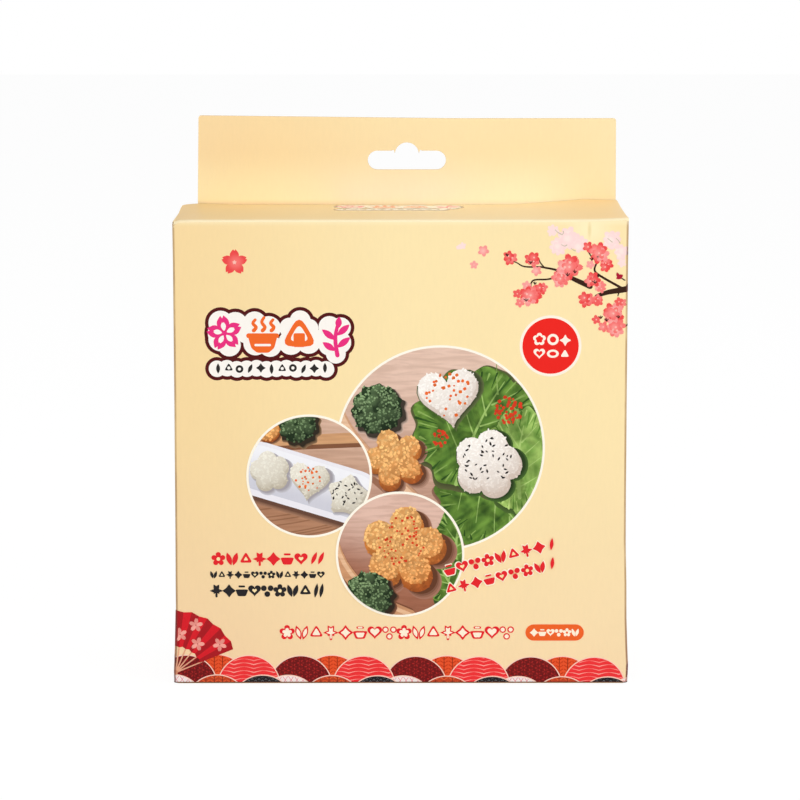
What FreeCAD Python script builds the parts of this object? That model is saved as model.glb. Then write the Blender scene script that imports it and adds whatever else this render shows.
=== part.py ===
"""Boxed sushi rice mold press: a folding carton with a hang tab, and the moulding set inside it.

The carton stands on its base with its front towards -Y and +Z up. The origin is the middle of the base.
Everything is in millimetres. Cards are drawn flat in the XY plane with their thickness upwards, and the
moulding set is drawn lying flat, as it is used. The Placements stand them up.
"""

import FreeCAD, Part
import math
import os
import re

import Sketcher
from FreeCAD import Placement, Rotation, Vector

SIZES = {
    # carton board and outer size
    "carton_wide": 175,
    "carton_deep": 60,
    "carton_tall": 182,
    "board": 0.5,
    "panel_corner": 1.5,
    "fold_round": 0.2,
    # clearances of the paper parts
    "crease_gap": 0.15,
    "slip_gap": 0.3,
    "rest_gap": 0.1,
    # hang tab and its slot
    "tab_tall": 34,
    "tab_inset_left": 6.8,
    "tab_inset_right": 1.7,
    "slot_wide": 32,
    "slot_tall": 8,
    "slot_below_top": 16.95,
    "bump_radius": 5.05,
    "bump_lift": 2.2,
    # closure
    "flap_corner": 8,
    "tuck_long": 14,
    "tuck_taper": 4,
    "tuck_lean": 10,
    "tuck_corner": 6,
    "dust_long": 32,
    "dust_front_gap": 1.5,
    "dust_front_taper": 29,
    "dust_back_gap": 4.5,
    "dust_back_taper": 2,
    "dust_corner": 4,
    # seam and bottom
    "glue_flap_wide": 14,
    "glue_flap_taper": 4,
    "bottom_dust_long": 45,
    # card cradle
    "cradle_side_gap": 3,
    "cradle_front_gap": 4.7,
    "cradle_side_tall": 118,
    "cradle_shoulder_tall": 24,
    "cradle_shoulder_in": 11,
    "cradle_corner": 6,
    "set_split": 12.6,
    "set_gap": 6.8,
    # mold base and its three cavities
    "base_wide": 74,
    "base_deep": 32,
    "base_end_flat": 6,
    "base_wall": 2,
    "base_round": 0.8,
    "figure_end_room": 25,
    "cup_wall": 1.8,
    "cup_gap": 0.2,
    "cavity_floor": 2,
    "petal_ring": 12.5,
    "petal_radius": 8.5,
    "flower_heart": 12,
    "heart_side": 24.5,
    "heart_drop": 17.6,
    "star_reach": 19.25,
    "star_root": 8.6,
    "star_tip": 3.6,
    # press
    "press_gap": 0.6,
    "press_seat": 0.2,
    "head_deep": 10,
    "head_wall": 1.8,
    "stem_radius": 4,
    "stem_gap": 0.05,
    "plug_deep": 1.5,
    "lid_thick": 2.5,
    "lid_round": 1.2,
    "lip_wall": 1.8,
    "lip_gap": 0.4,
    "lip_deep": 5,
    "grip_long": 92,
    "grip_wide": 17,
    "grip_high": 7.5,
    "grip_corner": 8,
    "grip_round": 2.5,
    "peg_radius": 2.5,
    "peg_apart": 60,
    # parts cutters and their rack
    "rack_thick": 2.5,
    "rack_corner": 5,
    "rack_round": 0.6,
    "cutter_pitch_x": 26,
    "cutter_pitch_y": 41,
    "rack_side_room": 14,
    "rack_end_room": 23,
    "cutter_scale": 0.36,
    "cutter_wall": 0.9,
    "cutter_tall": 12,
    "flange_wide": 2,
    "flange_thick": 1.6,
    "boss_tall": 5,
    "boss_gap": 0.4,
    "round_radius": 7,
    "dot_radius": 4.5,
    "oval_radius": 4.2,
    "oval_spread": 7,
}

doc = FreeCAD.newDocument("RiceMoldPress")
sheet = doc.addObject("Spreadsheet::Sheet", "Sizes")
for row, (alias, number) in enumerate(SIZES.items(), start=1):
    sheet.set(f"A{row}", alias)
    sheet.set(f"B{row}", str(number))
    sheet.setAlias(f"B{row}", alias)
doc.recompute()

parts = []

STAND_UP = Rotation(Vector(1, 0, 0), 90)
TURN_LEFT = Rotation(Vector(0, 0, 1), 90)
TURN_RIGHT = Rotation(Vector(0, 0, 1), -90)


# Formulas and placing


def formula(text):
    """The formula with each size's name made a reference to its cell."""
    return re.sub(r"\b(" + "|".join(SIZES) + r")\b", r"Sizes.\1", text)


def bind(thing, **formulas):
    """Binds properties to formulas of the sheet's sizes."""
    for name, text in formulas.items():
        thing.setExpression(name, formula(text))
    return thing


def place(thing, x="0", y="0", z="0", turn=Rotation()):
    """Turns the thing, then puts its own origin at the point that the three formulas give."""
    thing.Placement = Placement(Vector(), turn)
    for axis, text in (("x", x), ("y", y), ("z", z)):
        thing.setExpression(f"Placement.Base.{axis}", formula(text))
    return thing


def part(thing, label):
    """Makes the thing a sub-part under the name of its file."""
    thing.Label = label
    parts.append(thing)
    return thing


# Small shapes that the sub-parts are made of


def box(name, long, wide, tall, x="0", y="0", z="0", turn=Rotation()):
    made = bind(doc.addObject("Part::Box", name), Length=long, Width=wide, Height=tall)
    return place(made, x, y, z, turn)


def rod(name, radius, tall, x="0", y="0", z="0", turn=Rotation()):
    made = bind(doc.addObject("Part::Cylinder", name), Radius=radius, Height=tall)
    return place(made, x, y, z, turn)


def fuse(name, shapes):
    made = doc.addObject("Part::MultiFuse", name)
    made.Shapes = shapes
    made.Refine = True
    return made


def cut(name, base, tool):
    made = doc.addObject("Part::Cut", name)
    made.Base = base
    made.Tool = tool
    made.Refine = True
    return made


def plate_outline(body, points):
    """A closed outline in the body's XY plane. Each point is a pair of formulas."""
    sketch = body.newObject("Sketcher::SketchObject", body.Name + "_outline")
    plane = next(f for f in body.Origin.OriginFeatures if f.Role == "XY_Plane")
    sketch.AttachmentSupport = [(plane, "")]
    sketch.MapMode = "FlatFace"
    count = len(points)
    start = [Vector(math.cos(n), math.sin(n), 0) for n in (math.tau * k / count for k in range(count))]
    for number in range(count):
        sketch.addGeometry(Part.LineSegment(start[number], start[(number + 1) % count]))
    for number in range(count):
        sketch.addConstraint(Sketcher.Constraint("Coincident", number, 2, (number + 1) % count, 1))
    for number, point in enumerate(points):
        for kind, text in zip(("DistanceX", "DistanceY"), point):
            index = sketch.addConstraint(Sketcher.Constraint(kind, -1, 1, number, 1, 1.0))
            sketch.setExpression(f"Constraints[{index}]", formula(text))
    return sketch


def plate(name, points, thick):
    """A body that is one flat plate of that outline."""
    body = doc.addObject("PartDesign::Body", name)
    sketch = plate_outline(body, points)
    made = body.newObject("PartDesign::Pad", name + "_pad")
    made.Profile = sketch
    bind(made, Length=thick)
    doc.recompute()
    return body


def round_edges(body, edges, radius):
    """Fillets the body's present shape at the edges with those numbers."""
    base = body.Tip
    made = body.newObject("PartDesign::Fillet", f"{body.Name}_round{len(body.Group)}")
    made.Base = (base, [f"Edge{number}" for number in edges])
    bind(made, Radius=radius)
    body.Tip = made
    doc.recompute()


def corner_edges(body, corners):
    """The numbers of the edges that stand on those corners of the body's outline."""
    outline = body.Group[0].Geometry
    spots = [Part.Vertex(outline[number].StartPoint) for number in corners]
    return [
        number
        for number, edge in enumerate(body.Tip.Shape.Edges, start=1)
        for spot in spots
        if edge.BoundBox.ZLength > 1e-3 and edge.distToShape(spot)[0] < 1e-6
    ]


def level_edges(body, level):
    """The numbers of the edges that lie at that height."""
    return [
        number
        for number, edge in enumerate(body.Tip.Shape.Edges, start=1)
        if max(abs(edge.BoundBox.ZMin - level), abs(edge.BoundBox.ZMax - level)) < 1e-4
    ]


def rectangle(long, wide, x="0", y="0"):
    """The four corners of a rectangle whose middle is at x, y."""
    return [
        (f"({x}) {across} ({long}) / 2", f"({y}) {up} ({wide}) / 2")
        for across, up in (("-", "-"), ("+", "-"), ("+", "+"), ("-", "+"))
    ]


def card(label, points, x="0", y="0", z="0", turn=Rotation(), rounds=None):
    """A sub-part cut from the carton's board. rounds gives, for a radius, the corners that have it."""
    body = plate(label + "_body", points, "board")
    for radius, corners in (rounds or {}).items():
        round_edges(body, corner_edges(body, corners), radius)
    return part(place(body, x, y, z, turn), label)


def slab(name, wide, long, thick, corner, top_round=None):
    """A plate about the Z axis with rounded corners, and its upper edge rounded where asked."""
    body = plate(name, rectangle(wide, long), thick)
    round_edges(body, corner_edges(body, range(4)), corner)
    if top_round:
        round_edges(body, level_edges(body, body.Tip.Shape.BoundBox.ZMax), top_round)
    return body


# The figures of the mold and the cutters. Each is a prism about the point x, y that starts at z.
# grow moves its outline outwards, and scale sizes it before that.


def flower(name, tall, grow="0", scale="1", x="0", y="0", z="0"):
    petals = 5
    pieces = [rod(name + "_middle", f"flower_heart * {scale} + ({grow})", tall, x, y, z)]
    for number in range(petals):
        angle = f"({90 + number * 360 / petals}) * 1 deg"
        across = f"{x} + petal_ring * {scale} * cos({angle})"
        along = f"{y} + petal_ring * {scale} * sin({angle})"
        pieces.append(
            rod(f"{name}_petal{number}", f"petal_radius * {scale} + ({grow})", tall, across, along, z)
        )
    return fuse(name, pieces)


def heart(name, tall, grow="0", scale="1", x="0", y="0", z="0"):
    """A square that stands on its corner, with a round on each of its two upper sides."""
    side = f"heart_side * {scale}"
    tip = f"{y} - heart_drop * {scale}"
    length = f"{side} + 2 * ({grow})"
    eighth_turn = Rotation(Vector(0, 0, 1), 45)
    pieces = [box(name + "_square", length, length, tall, x, f"{tip} - sqrt(2) * ({grow})", z, eighth_turn)]
    for word, sign in (("left", "-"), ("right", "+")):
        across = f"{x} {sign} {side} / sqrt(8)"
        along = f"{tip} + 3 * {side} / sqrt(8)"
        pieces.append(rod(f"{name}_{word}", f"{side} / 2 + ({grow})", tall, across, along, z))
    return fuse(name, pieces)


def star(name, tall, grow="0", scale="1", x="0", y="0", z="0"):
    """Five tapered arms with round tips."""
    arms = 5
    root = f"star_root * {scale} + ({grow})"
    tip = f"star_tip * {scale} + ({grow})"
    reach = f"star_reach * {scale}"
    pieces = []
    for number in range(arms):
        degrees = 360 * number / arms
        arm = doc.addObject("Part::Wedge", f"{name}_arm{number}")
        arm.Ymin = arm.Zmin = arm.Z2min = 0
        bind(arm, Xmin=f"-({root})", Xmax=root, X2min=f"-({tip})", X2max=tip)
        bind(arm, Ymax=reach, Zmax=tall, Z2max=tall)
        place(arm, x, y, z, Rotation(Vector(0, 0, 1), degrees))
        across = f"{x} - {reach} * sin({degrees} * 1 deg)"
        along = f"{y} + {reach} * cos({degrees} * 1 deg)"
        pieces += [arm, rod(f"{name}_tip{number}", tip, tall, across, along, z)]
    return fuse(name, pieces)


def disc(name, tall, grow="0", scale="1", x="0", y="0", z="0"):
    return rod(name, f"round_radius * {scale} + ({grow})", tall, x, y, z)


def dot(name, tall, grow="0", scale="1", x="0", y="0", z="0"):
    return rod(name, f"dot_radius * {scale} + ({grow})", tall, x, y, z)


def oval(name, tall, grow="0", scale="1", x="0", y="0", z="0"):
    radius = f"oval_radius * {scale} + ({grow})"
    spread = f"oval_spread * {scale}"
    low_x, low_y = f"{x} - {spread} / 2", f"{y} - ({radius})"
    middle = box(name + "_middle", spread, f"2 * ({radius})", tall, low_x, low_y, z)
    ends = [
        rod(f"{name}_{word}", radius, tall, f"{x} {sign} {spread} / 2", y, z)
        for word, sign in (("left", "-"), ("right", "+"))
    ]
    return fuse(name, [middle, *ends])


# Levels and planes that several pieces share

FRONT = "-carton_deep / 2"
BACK = "carton_deep / 2"
SIDE = "carton_wide / 2"
INNER_WIDE = "(carton_wide - 2 * board)"
INNER_DEEP = "(carton_deep - 2 * board)"
INNER_BACK = "(carton_deep / 2 - board)"
FLAP_UNDER = "(carton_tall - board)"
FLAP_REAR = "(carton_deep / 2 - 2 * board - slip_gap)"
DUST_UNDER = "(carton_tall - 2 * board - slip_gap)"
FLOOR_TOP = "(3 * board)"

CRADLE_WIDE = "(carton_wide - 2 * board - 2 * cradle_side_gap)"
CRADLE_REAR = "(carton_deep / 2 - 2 * board - slip_gap)"
CRADLE_BASE = "(3 * board + rest_gap)"
WING_DEEP = "(carton_deep - 4 * board - slip_gap - cradle_front_gap)"
SET_REAR = f"({CRADLE_REAR} - board - rest_gap)"
SHELF_TOP = f"({CRADLE_BASE} + board)"


# The carton


def carton_walls():
    """The front and back walls run the full width, and the side walls stand between them."""
    corners = {"panel_corner": range(4)}
    walls = (
        ("front_panel", f"{FLAP_UNDER} - crease_gap", f"{FRONT} + board"),
        ("back_panel", "carton_tall - crease_gap", BACK),
    )
    for label, top, y in walls:
        middle = f"(board + {top}) / 2"
        points = rectangle("carton_wide", f"{top} - board", y=middle)
        wall = card(label, points, y=y, turn=STAND_UP, rounds=corners)
        bounds = wall.Tip.Shape.BoundBox
        outer_face = bounds.ZMax if label == "front_panel" else bounds.ZMin
        round_edges(wall, level_edges(wall, outer_face), "fold_round")
    wall_tall = f"{DUST_UNDER} - crease_gap - board"
    for label, x in (("left_side_panel", f"-{SIDE}"), ("right_side_panel", f"{SIDE} - board")):
        wall = box(label + "_wall", "board", INNER_DEEP, wall_tall, x, f"{FRONT} + board", "board")
        part(wall, label)


def glue_flap():
    """The seam's flap, folded from the left wall and glued to the inside of the back wall."""
    low = FLOOR_TOP
    high = f"{DUST_UNDER} - board"
    points = [
        ("0", low),
        ("glue_flap_wide", f"{low} + glue_flap_taper"),
        ("glue_flap_wide", f"{high} - glue_flap_taper"),
        ("0", high),
    ]
    card("glue_flap", points, f"-{SIDE} + board", INNER_BACK, turn=STAND_UP)


def carton_bottom():
    """The glued bottom: the outer flap, the inner flap and two dust flaps, in that order upwards."""
    card("bottom_outer_flap", rectangle("carton_wide - 2 * slip_gap", "carton_deep"))
    inner = rectangle(f"{INNER_WIDE} - 2 * slip_gap", f"{INNER_DEEP} - slip_gap", y="slip_gap / 2")
    card("bottom_inner_flap", inner, z="board")
    for side, sign in (("left", "-"), ("right", "+")):
        middle = f"{sign}1 * ({INNER_WIDE} - bottom_dust_long) / 2"
        flap = rectangle("bottom_dust_long", f"{INNER_DEEP} - 2 * slip_gap", x=middle)
        card(f"bottom_dust_flap_{side}", flap, z="2 * board")


def hang_tab():
    """Two glued plies that stand above the back wall, with the slot for a shop hook through both."""
    wide = "(carton_wide - tab_inset_left - tab_inset_right)"
    middle = "(tab_inset_left - tab_inset_right) / 2"
    slot_level = "tab_tall - slot_below_top"
    reach = "(slot_wide - slot_tall)"
    for ply, rear in (("front", INNER_BACK), ("back", BACK)):
        name = f"tab_{ply}"
        sheet_of_board = plate(name + "_sheet", rectangle(wide, "tab_tall", middle, "tab_tall / 2"), "board")
        slot_low = f"{slot_level} - slot_tall / 2"
        tools = [
            box(name + "_slot", reach, "slot_tall", "board", f"{middle} - {reach} / 2", slot_low),
            rod(name + "_slot_left", "slot_tall / 2", "board", f"{middle} - {reach} / 2", slot_level),
            rod(name + "_slot_right", "slot_tall / 2", "board", f"{middle} + {reach} / 2", slot_level),
            rod(name + "_bump", "bump_radius", "board", middle, f"{slot_level} + bump_lift"),
        ]
        ply_card = cut(name + "_cut", sheet_of_board, fuse(name + "_hole", tools))
        part(place(ply_card, "0", rear, "carton_tall", STAND_UP), f"hang_tab_{ply}_ply")


def top_flap():
    """The lid, hinged at the front. Its rear left corner is cut round."""
    deep = f"{FLAP_REAR} + {BACK}"
    outline = rectangle("carton_wide - 2 * slip_gap", deep, y=f"({deep}) / 2")
    card("top_flap", outline, y=FRONT, z=FLAP_UNDER, rounds={"flap_corner": [3]})


def tuck_flap():
    """The tongue behind the lid. It leans inwards, so that it clears the back wall as the lid lifts."""
    half = f"({INNER_WIDE} / 2 - board - 2 * slip_gap)"
    points = [
        (f"-{half}", "board + crease_gap"),
        (half, "board + crease_gap"),
        (f"{half} - tuck_taper", "tuck_long"),
        (f"-{half} + tuck_taper", "tuck_long"),
    ]
    hang = Rotation(Vector(-1, 0, 0), 90)
    y = f"{FLAP_REAR} - board * cos(tuck_lean * 1 deg)"
    z = "carton_tall + board * sin(tuck_lean * 1 deg)"
    tongue = card("tuck_flap", points, "0", y, z, hang, {"tuck_corner": [2, 3]})
    tongue.setExpression("Placement.Rotation.Angle", formula("(90 + tuck_lean) * 1 deg"))


def dust_flaps():
    """Two flaps under the lid, folded from the side walls and cut back at the front."""
    span = f"({INNER_DEEP} - dust_front_gap - dust_back_gap)"
    for side, sign, turn in (("left", 1, TURN_RIGHT), ("right", -1, TURN_LEFT)):
        points = [
            ("0", "board + crease_gap"),
            (f"{sign} * {span}", "board + crease_gap"),
            (f"{sign} * ({span} - dust_front_taper)", "dust_long"),
            (f"{sign} * dust_back_taper", "dust_long"),
        ]
        x = f"{-sign} * {SIDE}"
        y = f"{INNER_BACK} - dust_back_gap"
        card(f"{side}_dust_flap", points, x, y, DUST_UNDER, turn, {"dust_corner": [2, 3]})


# The card cradle that keeps the set together


def cradle():
    """A back card with shoulders, a wing folded forwards at each side, and a shelf to stand on."""
    half = f"({CRADLE_WIDE} / 2)"
    high = "cradle_side_tall + cradle_shoulder_tall"
    points = [
        (f"-{half}", "0"),
        (half, "0"),
        (half, "cradle_side_tall"),
        (f"{half} - cradle_shoulder_in", high),
        (f"-{half} + cradle_shoulder_in", high),
        (f"-{half}", "cradle_side_tall"),
    ]
    card("cradle_back", points, "0", CRADLE_REAR, CRADLE_BASE, STAND_UP, {"cradle_corner": [3, 4]})
    front = f"{CRADLE_REAR} - board - {WING_DEEP}"
    for side, x in (("left", f"-{half}"), ("right", f"{half} - board")):
        wing = box(f"cradle_wing_{side}", "board", WING_DEEP, "cradle_side_tall", x, front, CRADLE_BASE)
        part(wing, f"cradle_{side}_wing")
    shelf = rectangle(f"{CRADLE_WIDE} - 2 * board", WING_DEEP, y=f"{front} + {WING_DEEP} / 2")
    card("cradle_shelf", shelf, z=CRADLE_BASE)


# The mold, drawn flat with its rim up. It stands to the left of the split.

FIGURES = (("flower", flower, "1"), ("heart", heart, "0"), ("star", star, "-1"))
HEART_TO_STAR = "heart_drop + sqrt(2) * cup_wall + star_reach + star_tip + cup_wall"
HEART_TO_FLOWER = (
    "heart_side * (3 / sqrt(8) + 1 / 2) - heart_drop + petal_ring * cos(36 deg) + petal_radius + 2 * cup_wall"
)
FIGURE_PITCH = f"(max({HEART_TO_STAR}; {HEART_TO_FLOWER}) + cup_gap)"
BASE_LONG = f"(2 * ({FIGURE_PITCH} + figure_end_room))"
BASE_CORNER = "(base_wide / 2 - base_end_flat / 2)"
LID_UNDER = "(base_deep + press_seat)"
LID_TOP = "(base_deep + press_seat + lid_thick)"
LIP_OVER = "(lip_gap + lip_wall)"


def stand_mold(thing, label):
    x = f"set_split - set_gap / 2 - {LIP_OVER} - base_wide / 2"
    part(place(thing, x, SET_REAR, f"{SHELF_TOP} + rest_gap + {LIP_OVER} + {BASE_LONG} / 2", STAND_UP), label)


def mold_base():
    """A tray with a skirt all round, open below, and a hole above each cup."""
    block = slab("base_block", "base_wide", BASE_LONG, "base_deep", BASE_CORNER, "base_round")
    hollow = slab(
        "base_hollow",
        "base_wide - 2 * base_wall",
        f"{BASE_LONG} - 2 * base_wall",
        "base_deep - base_wall",
        f"{BASE_CORNER} - base_wall",
    )
    holes = []
    for word, figure, step in FIGURES:
        y = f"{step} * {FIGURE_PITCH}"
        holes.append(figure(f"mouth_{word}", "base_deep", y=y, z="cavity_floor"))
        holes.append(figure(f"room_{word}", "base_deep - base_wall", "cup_wall", y=y))
    tray = cut("base_shell", block, hollow)
    stand_mold(cut("base_open", tray, fuse("base_holes", holes)), "mold_base")


def mold_cups():
    """Three cups, moulded on to the underside of the tray."""
    for word, figure, step in FIGURES:
        y = f"{step} * {FIGURE_PITCH}"
        cup = figure(f"cup_{word}", "base_deep - base_wall", "cup_wall", y=y)
        cavity = figure(f"cavity_{word}", "base_deep", y=y, z="cavity_floor")
        stand_mold(cut(f"cup_open_{word}", cup, cavity), f"mold_cup_{word}")


def press_lid():
    """A cover with a lip over the base's rim, and blind seats for the heads and the grip."""
    low = f"{LID_UNDER} - lip_deep"
    cover = slab(
        "lid_block",
        f"base_wide + 2 * {LIP_OVER}",
        f"{BASE_LONG} + 2 * {LIP_OVER}",
        "lid_thick + lip_deep",
        f"{BASE_CORNER} + {LIP_OVER}",
        "lid_round",
    )
    hollow = slab(
        "lid_hollow",
        "base_wide + 2 * lip_gap",
        f"{BASE_LONG} + 2 * lip_gap",
        "lip_deep",
        f"{BASE_CORNER} + lip_gap",
    )
    for block in (cover, hollow):
        place(block, z=low)
    seat_deep = "plug_deep + rest_gap"
    seats = [
        rod(f"seat_{word}", "stem_radius + stem_gap", seat_deep, y=f"{step} * {FIGURE_PITCH}", z=LID_UNDER)
        for word, figure, step in FIGURES
    ]
    sockets = [
        rod(
            f"socket_{word}",
            "peg_radius + stem_gap",
            seat_deep,
            y=f"{sign}1 * peg_apart / 2",
            z=f"{LID_TOP} - ({seat_deep})",
        )
        for word, sign in (("low", "-"), ("high", "+"))
    ]
    stand_mold(cut("lid_open", cover, fuse("lid_seats", [hollow, *seats, *sockets])), "press_lid")


def press_heads():
    """A hollow head for each cavity, with a stem that plugs into the lid."""
    low = f"({LID_UNDER} - head_deep)"
    stem_low = f"{low} + head_wall / 2"
    for word, figure, step in FIGURES:
        y = f"{step} * {FIGURE_PITCH}"
        block = figure(f"head_{word}", "head_deep", "-press_gap", y=y, z=low)
        hollow = figure(
            f"head_hollow_{word}", "head_deep", "-press_gap - head_wall", y=y, z=f"{low} + head_wall"
        )
        stem = rod(
            f"stem_{word}", "stem_radius", f"{LID_UNDER} + plug_deep - ({stem_low})", y=y, z=stem_low
        )
        head = fuse(f"head_whole_{word}", [cut(f"head_shell_{word}", block, hollow), stem])
        stand_mold(head, f"press_head_{word}")


def press_grip():
    """The bar that the hand pushes on, held by two pegs."""
    bar = slab("grip_bar", "grip_wide", "grip_long", "grip_high", "grip_corner", "grip_round")
    place(bar, z=LID_TOP)
    pegs = [
        rod(
            f"grip_peg_{word}",
            "peg_radius",
            "plug_deep + grip_high / 2",
            y=f"{sign}1 * peg_apart / 2",
            z=f"{LID_TOP} - plug_deep",
        )
        for word, sign in (("low", "-"), ("high", "+"))
    ]
    stand_mold(fuse("grip_whole", [bar, *pegs]), "press_grip")


# The parts cutters on their rack, drawn flat as well. They stand to the right of the split.
# Each row gives the cutter's name, its figure, the figure's scale, and its column and row on the rack.

CUTTERS = (
    ("flower", flower, "cutter_scale", "-1", "1"),
    ("star", star, "cutter_scale", "1", "1"),
    ("heart", heart, "cutter_scale", "-1", "0"),
    ("round", disc, "1", "1", "0"),
    ("oval", oval, "1", "-1", "-1"),
    ("dot", dot, "1", "1", "-1"),
)


RACK_WIDE = "(cutter_pitch_x + 2 * rack_side_room)"
RACK_LONG = "(2 * (cutter_pitch_y + rack_end_room))"


def stand_rack(thing, label):
    x = f"set_split + set_gap / 2 + {RACK_WIDE} / 2"
    part(place(thing, x, SET_REAR, f"{SHELF_TOP} + rest_gap + {RACK_LONG} / 2", STAND_UP), label)


def cutter_rack():
    rack = slab("rack_plate", RACK_WIDE, RACK_LONG, "rack_thick", "rack_corner", "rack_round")
    bosses = []
    for word, figure, scale, column, row in CUTTERS:
        x, y = f"{column} * cutter_pitch_x / 2", f"{row} * cutter_pitch_y"
        tall = "rack_thick / 2 + boss_tall"
        bosses.append(figure(f"boss_{word}", tall, "-boss_gap", scale, x, y, "rack_thick / 2"))
    stand_rack(fuse("rack_whole", [rack, *bosses]), "cutter_rack")


def cutters():
    """Each cutter is a thin wall that stands edge down round its boss, with a flange at the top."""
    low = "(rack_thick + rest_gap)"
    flange_low = f"{low} + cutter_tall - flange_thick"
    for word, figure, scale, column, row in CUTTERS:
        x, y = f"{column} * cutter_pitch_x / 2", f"{row} * cutter_pitch_y"
        wall = figure(f"wall_{word}", "cutter_tall", "cutter_wall", scale, x, y, low)
        wide = "cutter_wall + flange_wide"
        flange = figure(f"flange_{word}", "flange_thick", wide, scale, x, y, flange_low)
        bore = figure(f"bore_{word}", "cutter_tall", "0", scale, x, y, low)
        solid = fuse(f"cutter_solid_{word}", [wall, flange])
        stand_rack(cut(f"cutter_open_{word}", solid, bore), f"cutter_{word}")


# Building and writing


def faults():
    """What failed in the document, in plain words."""
    found = [
        f"{thing.Name} is {state}"
        for thing in doc.Objects
        for state in thing.State
        if state in ("Invalid", "Error")
    ]
    for piece in parts:
        if piece.Shape.isNull() or not piece.Shape.isValid() or not piece.Shape.Solids:
            found.append(f"{piece.Label} has no valid solid")
    return found


def write_parts(folder="parts"):
    os.makedirs(folder, exist_ok=True)
    for piece in parts:
        piece.Shape.exportStep(os.path.join(folder, piece.Label + ".step"))


carton_walls()
glue_flap()
carton_bottom()
hang_tab()
top_flap()
tuck_flap()
dust_flaps()
cradle()
mold_base()
mold_cups()
press_lid()
press_heads()
press_grip()
cutter_rack()
cutters()
doc.recompute()
problems = faults()
if problems:
    raise RuntimeError("; ".join(problems))
write_parts()
print(f"{len(parts)} sub-parts written")
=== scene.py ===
import math
import random

import bpy
from mathutils import Matrix, Vector


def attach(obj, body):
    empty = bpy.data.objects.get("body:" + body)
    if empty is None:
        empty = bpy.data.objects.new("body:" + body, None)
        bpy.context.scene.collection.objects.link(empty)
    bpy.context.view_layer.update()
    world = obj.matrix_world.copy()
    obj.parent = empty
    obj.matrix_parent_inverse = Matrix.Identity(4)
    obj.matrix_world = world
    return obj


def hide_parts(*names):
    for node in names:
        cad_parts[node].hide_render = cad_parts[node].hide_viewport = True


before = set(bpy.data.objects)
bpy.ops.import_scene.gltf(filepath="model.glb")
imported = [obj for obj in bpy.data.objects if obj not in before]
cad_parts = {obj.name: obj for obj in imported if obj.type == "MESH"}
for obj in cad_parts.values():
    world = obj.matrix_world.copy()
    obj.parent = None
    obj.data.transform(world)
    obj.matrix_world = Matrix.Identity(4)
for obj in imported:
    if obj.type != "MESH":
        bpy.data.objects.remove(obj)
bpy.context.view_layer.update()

scene = bpy.context.scene
seed = 12
draw = random.Random(seed)
millimetre = 0.001


def ink(red, green, blue):
    # a colour as it looks on screen, 0 to 255, made linear
    def channel(value):
        value /= 255
        return value / 12.92 if value <= 0.04045 else ((value + 0.055) / 1.055) ** 2.4

    return (channel(red), channel(green), channel(blue), 1.0)


def blendInk(first, second, share):
    return tuple(a + (b - a) * share for a, b in zip(first, second))


def smooth(low, high, value):
    share = min(max((value - low) / (high - low), 0.0), 1.0)
    return share * share * (3 - 2 * share)


def track(table, value):
    # smooth line through a short table of (position, amount)
    for (startAt, startValue), (endAt, endValue) in zip(table, table[1:]):
        if value <= endAt:
            return startValue + (endValue - startValue) * smooth(startAt, endAt, value)
    return table[-1][1]


# camera, light and ground

view = {
    "place": (-1.4, -1080.0, 299.0),
    "pitch": -10.067,
    "yaw": -0.065,
    "roll": -0.01,
    "lens": 124.8,
    "sensor": 36,
    "near": 0.05,
    "far": 20,
}

cameraData = bpy.data.cameras.new("camera")
cameraData.sensor_width = view["sensor"]
cameraData.lens = view["lens"]
cameraData.clip_start = view["near"]
cameraData.clip_end = view["far"]
camera = bpy.data.objects.new("camera", cameraData)
scene.collection.objects.link(camera)
camera.matrix_world = (
    Matrix.Translation(Vector(view["place"]) * millimetre)
    @ Matrix.Rotation(math.radians(view["yaw"]), 4, "Z")
    @ Matrix.Rotation(math.radians(90 + view["pitch"]), 4, "X")
    @ Matrix.Rotation(math.radians(view["roll"]), 4, "Z")
)
scene.camera = camera
scene.view_settings.view_transform = "Standard"

lamps = {
    "frontPanel": {"from": (-0.25, -1.6, 0.75), "size": 1.4, "watts": 11.0},
    "rightPanel": {"from": (1.3, -0.9, 0.9), "size": 0.9, "watts": 6.0},
    "topPanel": {"from": (0.1, 0.1, 1.5), "size": 1.0, "watts": 4.0},
}
lampAim = Vector((0, 0, 0.1))


def hangLamp(name, settings):
    lampData = bpy.data.lights.new(name, "AREA")
    lampData.shape = "DISK"
    lampData.size = settings["size"]
    lampData.energy = settings["watts"]
    lamp = bpy.data.objects.new(name, lampData)
    scene.collection.objects.link(lamp)
    lamp.location = settings["from"]
    aim = lampAim - lamp.location
    lamp.rotation_euler = aim.to_track_quat("-Z", "Y").to_euler()


for lampName, lampSettings in lamps.items():
    hangLamp(lampName, lampSettings)


def link(tree, source, target):
    tree.links.new(source, target)


def newNode(tree, kind, feeds=None, **settings):
    # a node with its settings, and its inputs fed with links or fixed values
    made = tree.nodes.new(kind)
    for word, value in settings.items():
        setattr(made, word, value)
    for word, value in (feeds or {}).items():
        if isinstance(value, bpy.types.NodeSocket):
            link(tree, value, made.inputs[word])
        else:
            made.inputs[word].default_value = value
    return made


def sums(tree, operation, first, second):
    return newNode(tree, "ShaderNodeMath", {0: first, 1: second}, operation=operation).outputs[0]


def seenDirectly(tree):
    # 1 for rays that look straight, by reflection or through glass
    paths = newNode(tree, "ShaderNodeLightPath").outputs
    total = paths["Is Camera Ray"]
    for word in ("Is Glossy Ray", "Is Transmission Ray"):
        total = sums(tree, "MAXIMUM", total, paths[word])
    return total


surround = {"light": (0.98, 0.985, 1.0, 1), "strength": 0.46, "paper": (1, 1, 1, 1)}


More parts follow.
